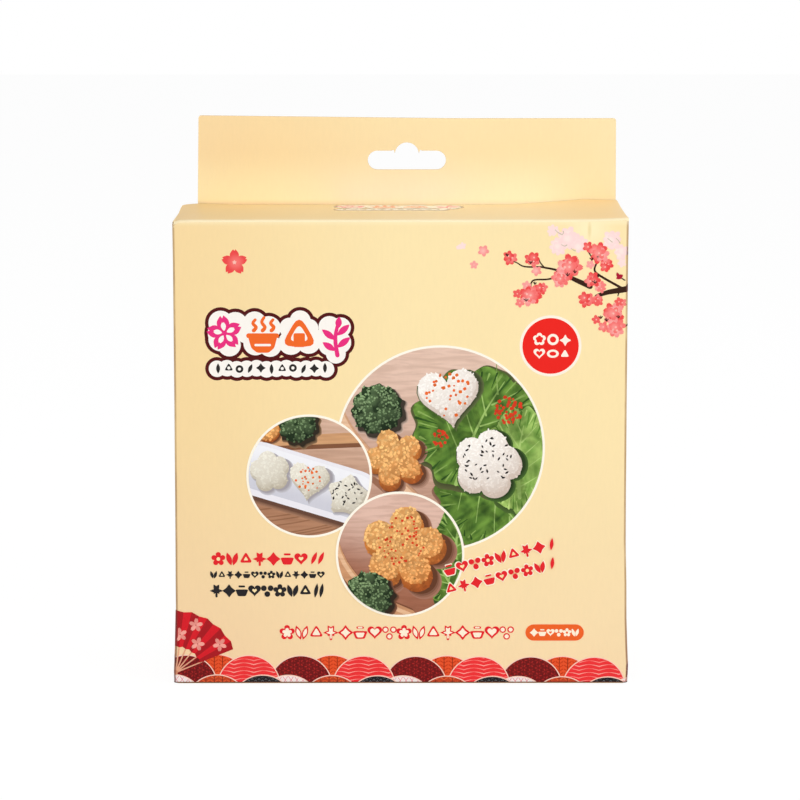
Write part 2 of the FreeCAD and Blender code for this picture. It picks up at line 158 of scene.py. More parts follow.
def makeWorld():
    world = bpy.data.worlds.new("studio")
    scene.world = world
    world.use_nodes = True
    tree = world.node_tree
    tree.nodes.clear()
    room = newNode(tree, "ShaderNodeBackground", {"Color": surround["light"], "Strength": surround["strength"]})
    paper = newNode(tree, "ShaderNodeBackground", {"Color": surround["paper"]})
    mixer = newNode(tree, "ShaderNodeMixShader", {0: seenDirectly(tree), 1: room.outputs[0], 2: paper.outputs[0]})
    newNode(tree, "ShaderNodeOutputWorld", {"Surface": mixer.outputs[0]})


floor = {"half": 4.0, "drop": 0.0003, "paper": (0.93, 0.93, 0.93, 1), "shadow": 0.1, "glow": 1.04}


def makeGround():
    half, low = floor["half"], -floor["drop"]
    corners = [(-half, -half, low), (half, -half, low), (half, half, low), (-half, half, low)]
    data = bpy.data.meshes.new("ground")
    data.from_pydata(corners, [], [(0, 1, 2, 3)])
    piece = bpy.data.objects.new("ground", data)
    scene.collection.objects.link(piece)
    material = bpy.data.materials.new("palePaper")
    material.use_nodes = True
    tree = material.node_tree
    tree.nodes.clear()
    matt = newNode(tree, "ShaderNodeBsdfDiffuse", {"Color": floor["paper"]})
    glow = newNode(tree, "ShaderNodeEmission", {"Strength": floor["glow"]})
    share = sums(tree, "MULTIPLY", seenDirectly(tree), 1 - floor["shadow"])
    mixer = newNode(tree, "ShaderNodeMixShader", {0: share, 1: matt.outputs[0], 2: glow.outputs[0]})
    newNode(tree, "ShaderNodeOutputMaterial", {"Surface": mixer.outputs[0]})
    data.materials.append(material)


makeWorld()
makeGround()
print("stage: camera, lamps and ground are in place")


# effects that several materials share


def newGroup(name, inputs, outputs=("Color", "Roughness", "Height")):
    # a shared effect: a tuple is a colour, and every other value a plain number
    group = bpy.data.node_groups.new(name, "ShaderNodeTree")
    for word, value in inputs.items():
        kind = "NodeSocketColor" if isinstance(value, tuple) else "NodeSocketFloat"
        group.interface.new_socket(name=word, in_out="INPUT", socket_type=kind).default_value = value
    for word in outputs:
        kind = "NodeSocketColor" if word == "Color" else "NodeSocketFloat"
        group.interface.new_socket(name=word, in_out="OUTPUT", socket_type=kind)
    return group, group.nodes.new("NodeGroupInput").outputs, group.nodes.new("NodeGroupOutput")


def textured(tree, kind, scale, stretch=(1, 1, 1), detail=2.0, **settings):
    # a texture in the object's own space, with its size in waves for each metre
    where = newNode(tree, "ShaderNodeTexCoord")
    shape = newNode(tree, "ShaderNodeMapping", {"Vector": where.outputs["Object"], "Scale": stretch})
    feeds = {"Vector": shape.outputs["Vector"], "Scale": scale, "Detail": detail}
    return newNode(tree, kind, feeds, **settings)


def ranged(tree, value, low, high, newLow=0.0, newHigh=1.0):
    feeds = {"Value": value, "From Min": low, "From Max": high, "To Min": newLow, "To Max": newHigh}
    return newNode(tree, "ShaderNodeMapRange", feeds, interpolation_type="SMOOTHSTEP").outputs["Result"]


def mixed(tree, factor, first, second, blend="MIX"):
    feeds = {0: factor, 6: first, 7: second}
    return newNode(tree, "ShaderNodeMix", feeds, data_type="RGBA", blend_type=blend).outputs[2]


def axes(tree, kind="Object"):
    # the three parts of a place, or of the way that the surface looks
    where = newNode(tree, "ShaderNodeTexCoord")
    return newNode(tree, "ShaderNodeSeparateXYZ", {0: where.outputs[kind]}).outputs


def facing(tree, outward):
    # 1 where the surface looks outward, and -1 where it looks the other way
    where = newNode(tree, "ShaderNodeTexCoord")
    feeds = {0: where.outputs["Normal"], 1: outward}
    return newNode(tree, "ShaderNodeVectorMath", feeds, operation="DOT_PRODUCT").outputs["Value"]


boardGrain = {"fibres": 900, "clouds": 42, "specks": 700, "dull": (0.46, 0.58)}


def putOut(tree, end, values):
    for word, value in values.items():
        link(tree, value, end.inputs[word])


def makePaperGrain():
    # faint fibres and cloudy mottling of coated board
    group, start, end = newGroup("paperGrain", {"Color": (0.9, 0.8, 0.6, 1), "Amount": 0.05})
    fibres = textured(group, "ShaderNodeTexNoise", boardGrain["fibres"], (1, 1, 0.22), 4.0).outputs[0]
    clouds = textured(group, "ShaderNodeTexNoise", boardGrain["clouds"], (1, 1, 0.5), 3.0).outputs[0]
    specks = textured(group, "ShaderNodeTexVoronoi", boardGrain["specks"], feature="F1").outputs["Distance"]
    change = sums(group, "SUBTRACT", sums(group, "ADD", fibres, clouds), 1.0)
    value = sums(group, "ADD", 1.0, sums(group, "MULTIPLY", change, start["Amount"]))
    tint = newNode(group, "ShaderNodeHueSaturation", {"Value": value, "Color": start["Color"]})
    putOut(group, end, {"Color": tint.outputs["Color"], "Height": sums(group, "ADD", fibres, specks),
                        "Roughness": ranged(group, clouds, 0.3, 0.7, *boardGrain["dull"])})
    return group


moulding = {"clouds": 60, "uneven": 0.05}


def makeMouldedSkin():
    # the faint cloud and pebble of moulded plastic
    inputs = {"Color": (0.9, 0.9, 0.9, 1), "Amount": 0.05, "Pebble": 900.0, "Rough": 0.4}
    group, start, end = newGroup("mouldedSkin", inputs)
    clouds = textured(group, "ShaderNodeTexNoise", moulding["clouds"], detail=3.0).outputs[0]
    pebbles = textured(group, "ShaderNodeTexVoronoi", start["Pebble"], feature="SMOOTH_F1")
    change = sums(group, "MULTIPLY", sums(group, "SUBTRACT", clouds, 0.5), start["Amount"])
    value = sums(group, "ADD", 1.0, change)
    tint = newNode(group, "ShaderNodeHueSaturation", {"Value": value, "Color": start["Color"]})
    uneven = ranged(group, clouds, 0.3, 0.7, -moulding["uneven"], moulding["uneven"])
    putOut(group, end, {"Color": tint.outputs["Color"], "Height": pebbles.outputs["Distance"],
                        "Roughness": sums(group, "ADD", uneven, start["Rough"])})
    return group


# how the painted fold shade is found: the fold's turn sideways and forward, broken into patches
foldShading = {"sideways": (0.1, 0.32), "forward": (0.1, 0.25), "patches": 55, "patchy": (0.36, 0.6, 0.6, 1.0)}


def makePaintedFoldShade():
    # painted shade on the small round of each upright fold, which turns away from the light, in uneven patches
    inputs = {"Color": (0.9, 0.8, 0.6, 1), "Tone": (0.4, 0.3, 0.2, 1), "Amount": 0.8}
    group, start, end = newGroup("paintedFoldShade", inputs, ("Color",))
    looks = axes(group, "Normal")
    sideways = ranged(group, sums(group, "ABSOLUTE", looks["X"], 0), *foldShading["sideways"])
    forward = ranged(group, sums(group, "ABSOLUTE", looks["Y"], 0), *foldShading["forward"])
    fold = sums(group, "MULTIPLY", sideways, forward)
    patches = textured(group, "ShaderNodeTexNoise", foldShading["patches"], detail=3.0)
    patchy = sums(group, "MULTIPLY", fold, ranged(group, patches.outputs[0], *foldShading["patchy"]))
    share = sums(group, "MULTIPLY", patchy, start["Amount"])
    putOut(group, end, {"Color": mixed(group, share, start["Color"], start["Tone"])})
    return group


paperGrain = makePaperGrain()
mouldedSkin = makeMouldedSkin()
paintedFoldShade = makePaintedFoldShade()


def newMaterial(name):
    material = bpy.data.materials.new(name)
    material.use_nodes = True
    tree = material.node_tree
    return material, tree, tree.nodes["Principled BSDF"]


# lays the painted fold shade over a colour
def paintedFoldLight(tree, color, tone, amount):
    feeds = {"Color": color, "Tone": tone, "Amount": amount}
    return newNode(tree, "ShaderNodeGroup", feeds, node_tree=paintedFoldShade).outputs["Color"]


def dressed(tree, shader, group, color, bump=0.1, depth=0.00005, **values):
    # puts a shared effect between the colour and the shader
    effect = newNode(tree, "ShaderNodeGroup", {"Color": color, **values}, node_tree=group).outputs
    relief = newNode(tree, "ShaderNodeBump", {"Strength": bump, "Distance": depth, "Height": effect["Height"]})
    link(tree, effect["Color"], shader.inputs["Base Color"])
    link(tree, effect["Roughness"], shader.inputs["Roughness"])
    link(tree, relief.outputs["Normal"], shader.inputs["Normal"])


# board materials

boardInks = {
    # the printed cream, with painted shading: lighter to the upper right, deeper to the lower left
    "topLeft": ink(244, 214, 156),
    "topRight": ink(249, 226, 171),
    "lowLeft": ink(243, 211, 166),
    "lowRight": ink(246, 219, 173),
    # painted shade: on the upright folds, deeper towards the bottom, and along the foot
    "fold": ink(186, 150, 106),
    "lowFoldShade": ink(150, 104, 74),
    "foot": ink(88, 50, 34),
    # painted highlight just under the lid's crease
    "creaseHighlight": ink(255, 240, 200),
    "inner": ink(214, 205, 190),
    "edge": ink(196, 160, 112),
}

# where each ink begins and ends, in metres, and how strong it is there
boardShades = {
    # where the painted shading of the cream changes, across and upward
    "across": (-0.095, 0.01),
    "upward": (-0.01, 0.12),
    # where the painted fold shade deepens, and where the painted crease highlight and foot shade lie
    "lowFoldShade": (0.045, 0.01),
    "creaseHighlight": (0.1796, 0.1813, 0.0, 0.4),
    "foot": (0.0011, 0.0004, 0.0, 0.95),
}


def shadedCreamPrint(tree):
    # the printed cream, with painted shading that makes it a little deeper towards the lower left
    place = axes(tree)
    across = ranged(tree, place["X"], *boardShades["across"])
    upward = ranged(tree, place["Z"], *boardShades["upward"])
    low = mixed(tree, across, boardInks["lowLeft"], boardInks["lowRight"])
    high = mixed(tree, across, boardInks["topLeft"], boardInks["topRight"])
    return mixed(tree, upward, low, high)


def printedBoard(tree, shader, color, gloss):
    dressed(tree, shader, paperGrain, color, 0.12, Amount=0.05)
    shader.inputs["Specular IOR Level"].default_value = gloss


# painted shade and painted highlight of a small dent below the lid's fold
dentShading = {
    "place": (0.0719, -0.03, 0.1782),
    "reach": (0.0011, 0.004, 0.005),
    # the painted shade in the dent, then the painted highlight beside it
    "dark": ink(240, 219, 162),
    "highlightReach": (0.011, 0.004, 0.009),
    "pale": ink(254, 238, 192),
    "highlightStrength": 0.8,
}


def softSpot(tree, reach):
    # 1 in the middle of a soft oval, and 0 beyond it
    where = newNode(tree, "ShaderNodeTexCoord")
    feeds = {"Vector": where.outputs["Object"], "Location": dentShading["place"], "Scale": reach}
    oval = newNode(tree, "ShaderNodeMapping", feeds, vector_type="TEXTURE")
    away = newNode(tree, "ShaderNodeVectorMath", {0: oval.outputs["Vector"]}, operation="LENGTH")
    return ranged(tree, away.outputs["Value"], 1.0, 0.1)


def paintedDentShading(tree, color):
    # a small crease near the right end of the lid's fold, shown by a painted shade and a painted highlight beside it
    pale = sums(tree, "MULTIPLY", softSpot(tree, dentShading["highlightReach"]), dentShading["highlightStrength"])
    color = mixed(tree, pale, color, dentShading["pale"])
    return mixed(tree, softSpot(tree, dentShading["reach"]), color, dentShading["dark"])


def cartonSkin():
    material, tree, shader = newMaterial("printedShadedCarton")
    height = axes(tree)["Z"]
    # painted shade on the upright folds, deeper towards the bottom
    tone = mixed(tree, ranged(tree, height, *boardShades["lowFoldShade"]), boardInks["fold"], boardInks["lowFoldShade"])
    shadedCream = paintedFoldLight(tree, shadedCreamPrint(tree), tone, 0.9)
    # a painted highlight, paler just under the lid's crease
    shadedCream = mixed(tree, ranged(tree, height, *boardShades["creaseHighlight"]), shadedCream, boardInks["creaseHighlight"])
    # painted shade and highlight of a small dent, and a dark painted shade along the very foot
    shadedCream = mixed(tree, ranged(tree, height, *boardShades["foot"]), paintedDentShading(tree, shadedCream), boardInks["foot"])
    printedBoard(tree, shader, shadedCream, 0.35)
    return material


def plainBoard(name, color, amount=0.09, bump=0.3):
    material, tree, shader = newMaterial(name)
    dressed(tree, shader, paperGrain, color, bump, Amount=amount)
    shader.inputs["Specular IOR Level"].default_value = 0.2
    return material


def sidedBoard(name, outward):
    # printed cream with its painted shading where the surface faces outward, bare inside, raw at the edges
    material, tree, shader = newMaterial(name)
    turned = facing(tree, outward)
    color = mixed(tree, ranged(tree, turned, 0.4, 0.6), boardInks["edge"], shadedCreamPrint(tree))
    color = mixed(tree, ranged(tree, turned, -0.4, -0.6), color, boardInks["inner"])
    printedBoard(tree, shader, color, 0.3)
    return material


printedShadedCarton = cartonSkin()
bareBoard = plainBoard("bareBoard", boardInks["inner"])
rawEdge = plainBoard("rawBoardEdge", boardInks["edge"], 0.2, 0.5)
boardUp = sidedBoard("boardFacingUp", (0, 0, 1))
boardBackward = sidedBoard("boardFacingBackward", (0, 1, 0))
boardDown = sidedBoard("boardFacingDown", (0, 0, -1))
print("stage: board materials are ready")


# the carton's own walls

carton = {
    "half": 87.5,
    "front": -30.0,
    "back": 30.0,
    "board": 0.5,
    "corner": 1.0,
    "leastCorner": 0.25,
    "cornerSteps": 5,
    "top": 181.3,
    # the rounded foot, as (height, distance inside the outer face), and the inner foot
    "foot": [(0.0, 0.5), (0.1, 0.25), (0.25, 0.08), (0.6, 0.0)],
    "innerFoot": (0.1, 0.85),
    "levels": [3, 8, 16, 26, 40, 56, 74, 92, 110, 128, 146, 164, 176],
    # how far each side wall stands out from its fold line, by height
    "drift": [(0, 1.2), (4, 1.3), (27, 0.42), (70, -0.2), (128, -0.5), (165, -0.66), (182, -0.62)],
    # and how far both lean to the right
    "sway": [(0, 0.05), (9, 0.27), (28, 0.27), (62, 0.0)],
    "frontCuts": (-84.4, -80.0, -72.0, 62.0, 70.0, 76.0, 81.0, 84.6),
    "leftCuts": (14.0, 0.0, -12.0, -22.0, -26.5),
    # the top's knocked left corner and its raised right end
    "knock": {"side": 0.5, "corner": 0.9, "end": 0.2, "rise": 0.75},
}


def drift(height):
    return track(carton["drift"], height)


def sway(height):
    return track(carton["sway"], height)


def topShift(x, y):
    # how far the carton's upper edge stands above its plain height
    knock = carton["knock"]
    side = smooth(-84.6, -86.9, x) * (knock["side"] * smooth(14, -10, y) + knock["corner"] * smooth(-28.7, -29.8, y))
    end = knock["end"] * smooth(-76, -85, x) * smooth(0, -28, y)
    return knock["rise"] * max(0.0, (x - 62) / 25) ** 2 * smooth(5, -25, y) - side - end


def wallLoop(height, inset):
    # one ring round the carton, at a distance inside its outer face
    half = carton["half"] + drift(height) - inset
    front, back = carton["front"] + inset, carton["back"] - inset
    radius = max(carton["corner"] - inset, carton["leastCorner"])
    ring = []
    for signX, signY, startAngle in ((-1, -1, 180), (1, -1, 270), (1, 1, 0), (-1, 1, 90)):
        middleX = signX * (half - radius)
        middleY = (front + radius) if signY < 0 else (back - radius)
        for step in range(carton["cornerSteps"] + 1):
            angle = math.radians(startAngle + 90 * step / carton["cornerSteps"])
            ring.append((middleX + radius * math.cos(angle), middleY + radius * math.sin(angle), height))
        if signX < 0 and signY < 0:
            ring += [(x, front, height) for x in carton["frontCuts"]]
    ring += [(-half, y, height) for y in carton["leftCuts"]]
    rise = topShift if height == carton["top"] else lambda x, y: 0.0
    return [(x + sway(height), y, z + rise(x, y)) for x, y, z in ring]


def newPiece(name, points, faces, body, materials, faceMaterials):
    data = bpy.data.meshes.new(name)
    data.from_pydata([Vector(point) * millimetre for point in points], [], faces)
    for material in materials:
        data.materials.append(material)
    data.polygons.foreach_set("material_index", faceMaterials)
    data.validate()
    data.update()
    piece = bpy.data.objects.new(name, data)
    scene.collection.objects.link(piece)
    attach(piece, body)
    return piece


smoothTurn = 50


def newSkin(name, points, faces, body, faceMaterials, outside):
    # a sheet of board: printed outside, bare inside, raw at its edges, smooth round its folds
    piece = newPiece(name, points, faces, body, (outside, bareBoard, rawEdge), faceMaterials)
    piece.data.polygons.foreach_set("use_smooth", [True] * len(piece.data.polygons))
    piece.data.set_sharp_from_angle(angle=math.radians(smoothTurn))
    return piece


def rimmedSkin(rings):
    # faces between rings of equal length, joined into one closed band
    count = len(rings[0])
    points = [point for ring in rings for point in ring]
    faces = []
    for row in range(len(rings)):
        nextRow = (row + 1) % len(rings)
        for number in range(count):
            after = (number + 1) % count
            faces.append((row * count + number, row * count + after, nextRow * count + after, nextRow * count + number))
    return points, faces


def makeWalls():
    outer = [wallLoop(height, inset) for height, inset in carton["foot"]]
    outer += [wallLoop(height, 0.0) for height in carton["levels"]]
    outer.append(wallLoop(carton["top"], 0.0))
    inner = [wallLoop(height, carton["board"]) for height in reversed([carton["foot"][-1][0]] + carton["levels"])]
    rings = outer + [wallLoop(carton["top"], carton["board"])] + inner + [wallLoop(*carton["innerFoot"])]
    points, faces = rimmedSkin(rings)
    count = len(rings[0])
    finish = []
    for row in range(len(rings)):
        kind = 0 if row < len(outer) - 1 else 2 if row == len(outer) - 1 else 1
        finish += [kind] * count
    walls = newSkin("cartonWalls", points, faces, "carton", finish, printedShadedCarton)
    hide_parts("front_panel", "back_panel", "left_side_panel", "right_side_panel")


makeWalls()

lid = {
    "half": 87.2,
    "front": -30.0,
    "rear": 28.7,
    "top": 182.0,
    "board": 0.5,
    "crease": 1.15,
    "creaseSteps": 5,
    "corner": 8.5,
    "cornerSteps": 8,
    "crown": 0.35,
    "lifted": 2.3,
    "leftLifted": 0.45,
    "drop": 0.18,
    "narrower": 0.35,
    "drawnIn": 0.5,
    "cuts": 12,
    "shares": (0.0, 0.12, 0.3, 0.5, 0.7, 0.88, 1.0),
    "cream": ink(251, 223, 171),
    # painted shade along the lid, deeper towards the left end and a little at the right end, as (start, end, ink)
    "tones": [(0.03, -0.03, ink(245, 216, 161)), (-0.03, -0.078, ink(241, 208, 149)),
              (-0.072, -0.086, ink(236, 200, 134)), (0.045, 0.08, ink(250, 216, 158))],
    # where the painted crease highlight lies across the lid, and how strong it is
    "paintedFoldLight": (-0.024, -0.0298, 0.0, 0.8),
}


def lidOutline():
    # the flap from above, as columns of (x, front to rear reach)
    half, rear, corner = lid["half"], lid["rear"], lid["corner"]
    columns = []
    for step in range(lid["cornerSteps"] + 1):
        angle = math.radians(90 * step / lid["cornerSteps"])
        columns.append((-half + corner * (1 - math.cos(angle)), rear - corner * (1 - math.sin(angle))))
    for step in range(1, lid["cuts"] + 1):
        columns.append((-half + corner + (2 * half - corner) * step / lid["cuts"], rear))
    return columns


def lidRise(share, across):
    # the flap's slight crown, its small drop behind the crease, and its lifted right rear corner
    edge = topShift(across, lid["front"] + lid["crease"] + 40 * max(share, 0.0)) * (1 - share)
    if share <= 0:
        return edge
    corner = lid["lifted"] * smooth(42, 80, across) * (1 - 0.25 * smooth(80, 87, across)) * share ** 1.5
    corner += lid["leftLifted"] * smooth(-66, -78, across) * share ** 1.5
    crown = lid["crown"] * math.sin(math.pi * share) * (1 - (across / lid["half"]) ** 4)
    return crown - lid["drop"] + corner + edge


def lidHeight(x, y):
    start = lid["front"] + lid["crease"]
    share = min(max((y - start) / (lid["rear"] - start), 0.0), 1.0)
    for low, high in zip(lid["shares"], lid["shares"][1:]):
        if share <= high:
            part = (share - low) / (high - low)
            return lid["top"] + lidRise(low, x) * (1 - part) + lidRise(high, x) * part
    return lid["top"]


def makeLid():
    rows, radius, start = [], lid["crease"], lid["front"] + lid["crease"]
    for step in range(lid["creaseSteps"] + 1):
        angle = math.radians(90 * step / lid["creaseSteps"])
        rows.append((lid["front"] + radius * (1 - math.sin(angle)), lid["top"] - radius * (1 - math.cos(angle))))
    rows.reverse()  # from the crease's lower end upwards and back
    shares = lid["shares"][1:]
    columns = lidOutline()
    sheets = []
    for inset in (0.0, lid["board"]):
        for x, reach in columns:
            # the lid is no wider than the wall below it
            across = x * (lid["half"] - lid["narrower"]) / lid["half"]
            drawnIn = lid["drawnIn"] * smooth(-80, -86.85, across)
            for y, z in rows:
                angle = math.asin(min(max((start - y) / radius, 0.0), 1.0))
                sheets.append((across + drawnIn, y + inset * math.sin(angle),
                               z - inset * math.cos(angle) + topShift(across, y)))
            for share in shares:
                sheets.append((across + drawnIn * (1 - smooth(0.45, 0.9, share)), start + (reach - start) * share,
                               lid["top"] - inset + lidRise(share, across)))
    tall = len(rows) + len(shares)
    wide = len(columns)
    faces, finish = [], []

    def at(layer, column, row):
        return (layer * wide + column) * tall + row

    for column in range(wide - 1):
        for row in range(tall - 1):
            square = [(column, row), (column + 1, row), (column + 1, row + 1), (column, row + 1)]
            faces.append(tuple(at(0, c, r) for c, r in square))
            faces.append(tuple(at(1, c, r) for c, r in reversed(square)))
            finish += [0, 1]
    rim = [(c, 0) for c in range(wide)] + [(wide - 1, r) for r in range(1, tall)]
    rim += [(c, tall - 1) for c in range(wide - 2, -1, -1)] + [(0, r) for r in range(tall - 2, 0, -1)]
    for here, there in zip(rim, rim[1:] + rim[:1]):
        faces.append((at(0, *there), at(0, *here), at(1, *here), at(1, *there)))
        finish.append(2)
    piece = newSkin("cartonLid", sheets, faces, "lid_panel", finish, lidShadedPrint)
    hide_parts("top_flap")


def lidSkin():
    # a painted highlight on the crease, and painted shade that makes both ends of the flap a little deeper
    material, tree, shader = newMaterial("printedShadedLid")
    place = axes(tree)
    cream = lid["cream"]
    for start, end, tone in lid["tones"]:
        cream = mixed(tree, ranged(tree, place["X"], start, end), cream, tone)
    color = mixed(tree, ranged(tree, place["Y"], *lid["paintedFoldLight"]), cream, boardInks["creaseHighlight"])
    printedBoard(tree, shader, color, 0.35)
    return material


lidShadedPrint = lidSkin()
makeLid()

tab = {
    "left": -80.45,
    "right": 86.05,
    "lean": (0.7, 0.3),
    "foot": 181.6,
    "leftTop": 217.35,
    "middleTop": (20.0, 216.2),
    "rightTop": 216.2,
    "corner": 1.0,
    "slotMiddle": 2.62,
    "slotLow": 195.75,
    "slotHigh": 203.4,
    "slotHalf": 15.7,
    "bumpHalf": 4.9,
    "bumpTop": 206.7,
    "plies": {"hang_tab_front_ply": (29.0, 29.48), "hang_tab_back_ply": (29.5, 30.0)},
    "bevel": 0.00006,
    # inks from left to right, and where they change, in metres
    # the cream, with painted shading that makes it paler to the right
    "cream": (ink(247, 217, 163), ink(250, 228, 177)),
    "creamAcross": (-0.09, 0.02),
    # a painted highlight towards the foot
    "footHighlight": (ink(254, 236, 184), ink(255, 243, 202)),
    "footAcross": (0.088, 0.048, 0.1, 1.0),
    "footUp": (0.205, 0.184),
    "shade": (ink(249, 218, 167), ink(255, 236, 196)),
    "shadeAcross": (-0.07, 0.03),
    "shadeUp": (0.184, 0.1815),
}


def arc(middleX, middleY, radius, startAngle, endAngle, steps):
    angles = [math.radians(startAngle + (endAngle - startAngle) * step / steps) for step in range(steps + 1)]
    return [(middleX + radius * math.cos(angle), middleY + radius * math.sin(angle)) for angle in angles]


def tabOutline():
    radius = tab["corner"]
    outline = [(tab["left"] - tab["lean"][0], tab["foot"]), (tab["right"] + tab["lean"][1], tab["foot"])]
    outline += arc(tab["right"] - radius, tab["rightTop"] - radius, radius, 0, 90, 4)
    outline.append(tab["middleTop"])
    outline += arc(tab["left"] + radius, tab["leftTop"] - radius, radius, 90, 180, 4)
    return outline


def slotOutline():
    middle, half, low, high = tab["slotMiddle"], tab["slotHalf"], tab["slotLow"], tab["slotHigh"]
    radius = (high - low) / 2
    bump, top = tab["bumpHalf"], tab["bumpTop"]
    outline = arc(middle - half + radius, low + radius, radius, 90, 270, 12)
    outline += arc(middle + half - radius, low + radius, radius, -90, 90, 12)
    outline += [(middle + bump + 1.2, high), (middle + bump + 0.3, high + 0.4)]
    outline += arc(middle, top - bump, bump, 8, 172, 12)
    outline += [(middle - bump - 0.3, high + 0.4), (middle - bump - 1.2, high)]
    return outline


def makePly(node, front, back, material):
    # a flat curve with a hole, filled and turned into a mesh
    cutOut = bpy.data.curves.new(node, "CURVE")
    cutOut.dimensions = "2D"
    cutOut.fill_mode = "BOTH"
    cutOut.extrude = (back - front) / 2 * millimetre - tab["bevel"]
    cutOut.bevel_depth = tab["bevel"]
    cutOut.bevel_resolution = 1
    for outline in (tabOutline(), slotOutline()):
        spline = cutOut.splines.new("POLY")
        spline.points.add(len(outline) - 1)
        for point, (x, z) in zip(spline.points, outline):
            point.co = (x * millimetre, z * millimetre, 0, 1)
        spline.use_cyclic_u = True
    holder = bpy.data.objects.new(node + "Shape", cutOut)
    scene.collection.objects.link(holder)
    bpy.context.view_layer.update()
    data = bpy.data.meshes.new_from_object(holder.evaluated_get(bpy.context.evaluated_depsgraph_get()))
    bpy.data.objects.remove(holder)
    middle = (front + back) / 2 * millimetre
    data.transform(Matrix.Translation((0, middle, 0)) @ Matrix.Rotation(math.radians(90), 4, "X"))
    data.materials.clear()
    data.materials.append(material)
    piece = bpy.data.objects.new("hangTab" + ("Front" if "front" in node else "Back"), data)
    scene.collection.objects.link(piece)
    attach(piece, "hang_tab")
    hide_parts(node)


def tabSkin():
    # printed cream with painted shading, paler to the right, and raw brown edges
    material, tree, shader = newMaterial("printedShadedTab")
    place = axes(tree)
    across = ranged(tree, place["X"], *tab["creamAcross"])
    cream = mixed(tree, across, *tab["cream"])
    # a painted highlight that makes it paler towards its foot, most of all right of the middle
    rightOf = ranged(tree, place["X"], *tab["footAcross"])
    foot = sums(tree, "MULTIPLY", ranged(tree, place["Z"], *tab["footUp"]), rightOf)
    cream = mixed(tree, foot, cream, mixed(tree, across, *tab["footHighlight"]))
    # a soft shade where the tab meets the lid
    shade = mixed(tree, ranged(tree, place["X"], *tab["shadeAcross"]), *tab["shade"])
    cream = mixed(tree, ranged(tree, place["Z"], *tab["shadeUp"]), cream, shade)
    color = mixed(tree, ranged(tree, facing(tree, (0, -1, 0)), 0.3, 0.7), boardInks["edge"], cream)
    printedBoard(tree, shader, color, 0.3)
    return material


printedShadedTab = tabSkin()
for plyNode, (plyFront, plyBack) in tab["plies"].items():
    makePly(plyNode, plyFront, plyBack, printedShadedTab if "front" in plyNode else boardBackward)

hiddenBoards = {
    boardUp: ("left_dust_flap", "right_dust_flap"),
    boardBackward: ("tuck_flap",),
    boardDown: ("bottom_outer_flap",),
    bareBoard: ("bottom_inner_flap", "bottom_dust_flap_left", "bottom_dust_flap_right", "glue_flap", "cradle_back",
                "cradle_left_wing", "cradle_right_wing", "cradle_shelf"),
}


def dressNodes(finishes):
    for material, nodes in finishes.items():
        for node in nodes:
            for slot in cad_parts[node].material_slots:
                slot.material = material


dressNodes(hiddenBoards)

plastics = {
    "mouldedWhite": {"color": ink(238, 238, 230), "Pebble": 1400.0, "Rough": 0.48, "Amount": 0.05, "bump": 0.15,
                     "nodes": ("mold_base", "cutter_rack")},
    # the cavities are embossed, so that rice lets go of them
    "embossedWhite": {"color": ink(242, 242, 236), "Pebble": 520.0, "Rough": 0.5, "Amount": 0.05, "bump": 0.9,
                      "nodes": ("mold_cup_flower", "mold_cup_heart", "mold_cup_star", "press_head_flower",
                                "press_head_heart", "press_head_star")},
    "satinWhite": {"color": ink(245, 243, 238), "Pebble": 2200.0, "Rough": 0.3, "Amount": 0.03, "bump": 0.05,
                   "nodes": ("press_lid", "press_grip")},
    "glossyPink": {"color": ink(236, 118, 132), "Pebble": 2600.0, "Rough": 0.2, "Amount": 0.06, "bump": 0.04,
                   "nodes": ("cutter_flower", "cutter_star", "cutter_heart", "cutter_round", "cutter_oval",
                             "cutter_dot")},
}


def makePlastics():
    finishes = {}
    for name, look in plastics.items():
        material, tree, shader = newMaterial(name)
        dressed(tree, shader, mouldedSkin, look["color"], look["bump"], 0.0003,
                Pebble=look["Pebble"], Rough=look["Rough"], Amount=look["Amount"])
        finishes[material] = look["nodes"]
    return finishes


dressNodes(makePlastics())
print("stage: walls, lid and hang tab are made")


# printed shapes: thin closed slips of ink on the board

printing = {
    "step": 0.0045,
    "first": 0.02,
    "rise": 0.00034,
    "turns": 13,
    "sink": 0.15,
    "leastArea": 0.002,
    "leastEdge": 0.004,
}
wallRun = {"flat": carton["half"] - carton["corner"], "turn": carton["corner"] * math.pi / 2,
           "side": carton["back"] - carton["front"] - 2 * carton["corner"]}
wallRun["round"] = 4 * wallRun["flat"] + 4 * wallRun["turn"] + 2 * wallRun["side"]


def onWall(along, height, lift):
    # along runs round the carton from the middle of the front, to the right
    flat, turn, side, radius = wallRun["flat"], wallRun["turn"], wallRun["side"], carton["corner"]
    left, sign = abs(along), 1 if along >= 0 else -1
    if left <= flat:
        x, y = left, carton["front"] - lift
    elif left <= flat + turn:
        angle = (left - flat) / radius
        x, y = flat + (radius + lift) * math.sin(angle), carton["front"] + radius - (radius + lift) * math.cos(angle)
    elif left <= flat + turn + side:
        x, y = carton["half"] + lift, carton["front"] + radius + left - flat - turn
    elif left <= flat + 2 * turn + side:
        angle = (left - flat - turn - side) / radius
        x, y = flat + (radius + lift) * math.cos(angle), carton["back"] - radius + (radius + lift) * math.sin(angle)
    else:
        x, y = flat - (left - flat - 2 * turn - side), carton["back"] + lift
    return sign * x * (1 + drift(height) / carton["half"]) + sway(height) * (x / carton["half"]) ** 2, y, height


def onLid(x, y, lift):
    return x, y, lidHeight(x, y) + lift


def straightened(along, height):
    # takes the walls' drift out, so that the folds are upright lines
    stretch = 1 + drift(height) / carton["half"]
    if abs(along) < carton["half"]:
        return along / stretch, height
    return along - math.copysign(carton["half"] - carton["half"] / stretch, along), height


wallCuts = []
for foldStart in (wallRun["flat"], wallRun["flat"] + wallRun["turn"] + wallRun["side"]):
    for foldStep in range(carton["cornerSteps"] + 1):
        foldAt = foldStart + wallRun["turn"] * foldStep / carton["cornerSteps"]
        wallCuts += [foldAt, -foldAt]
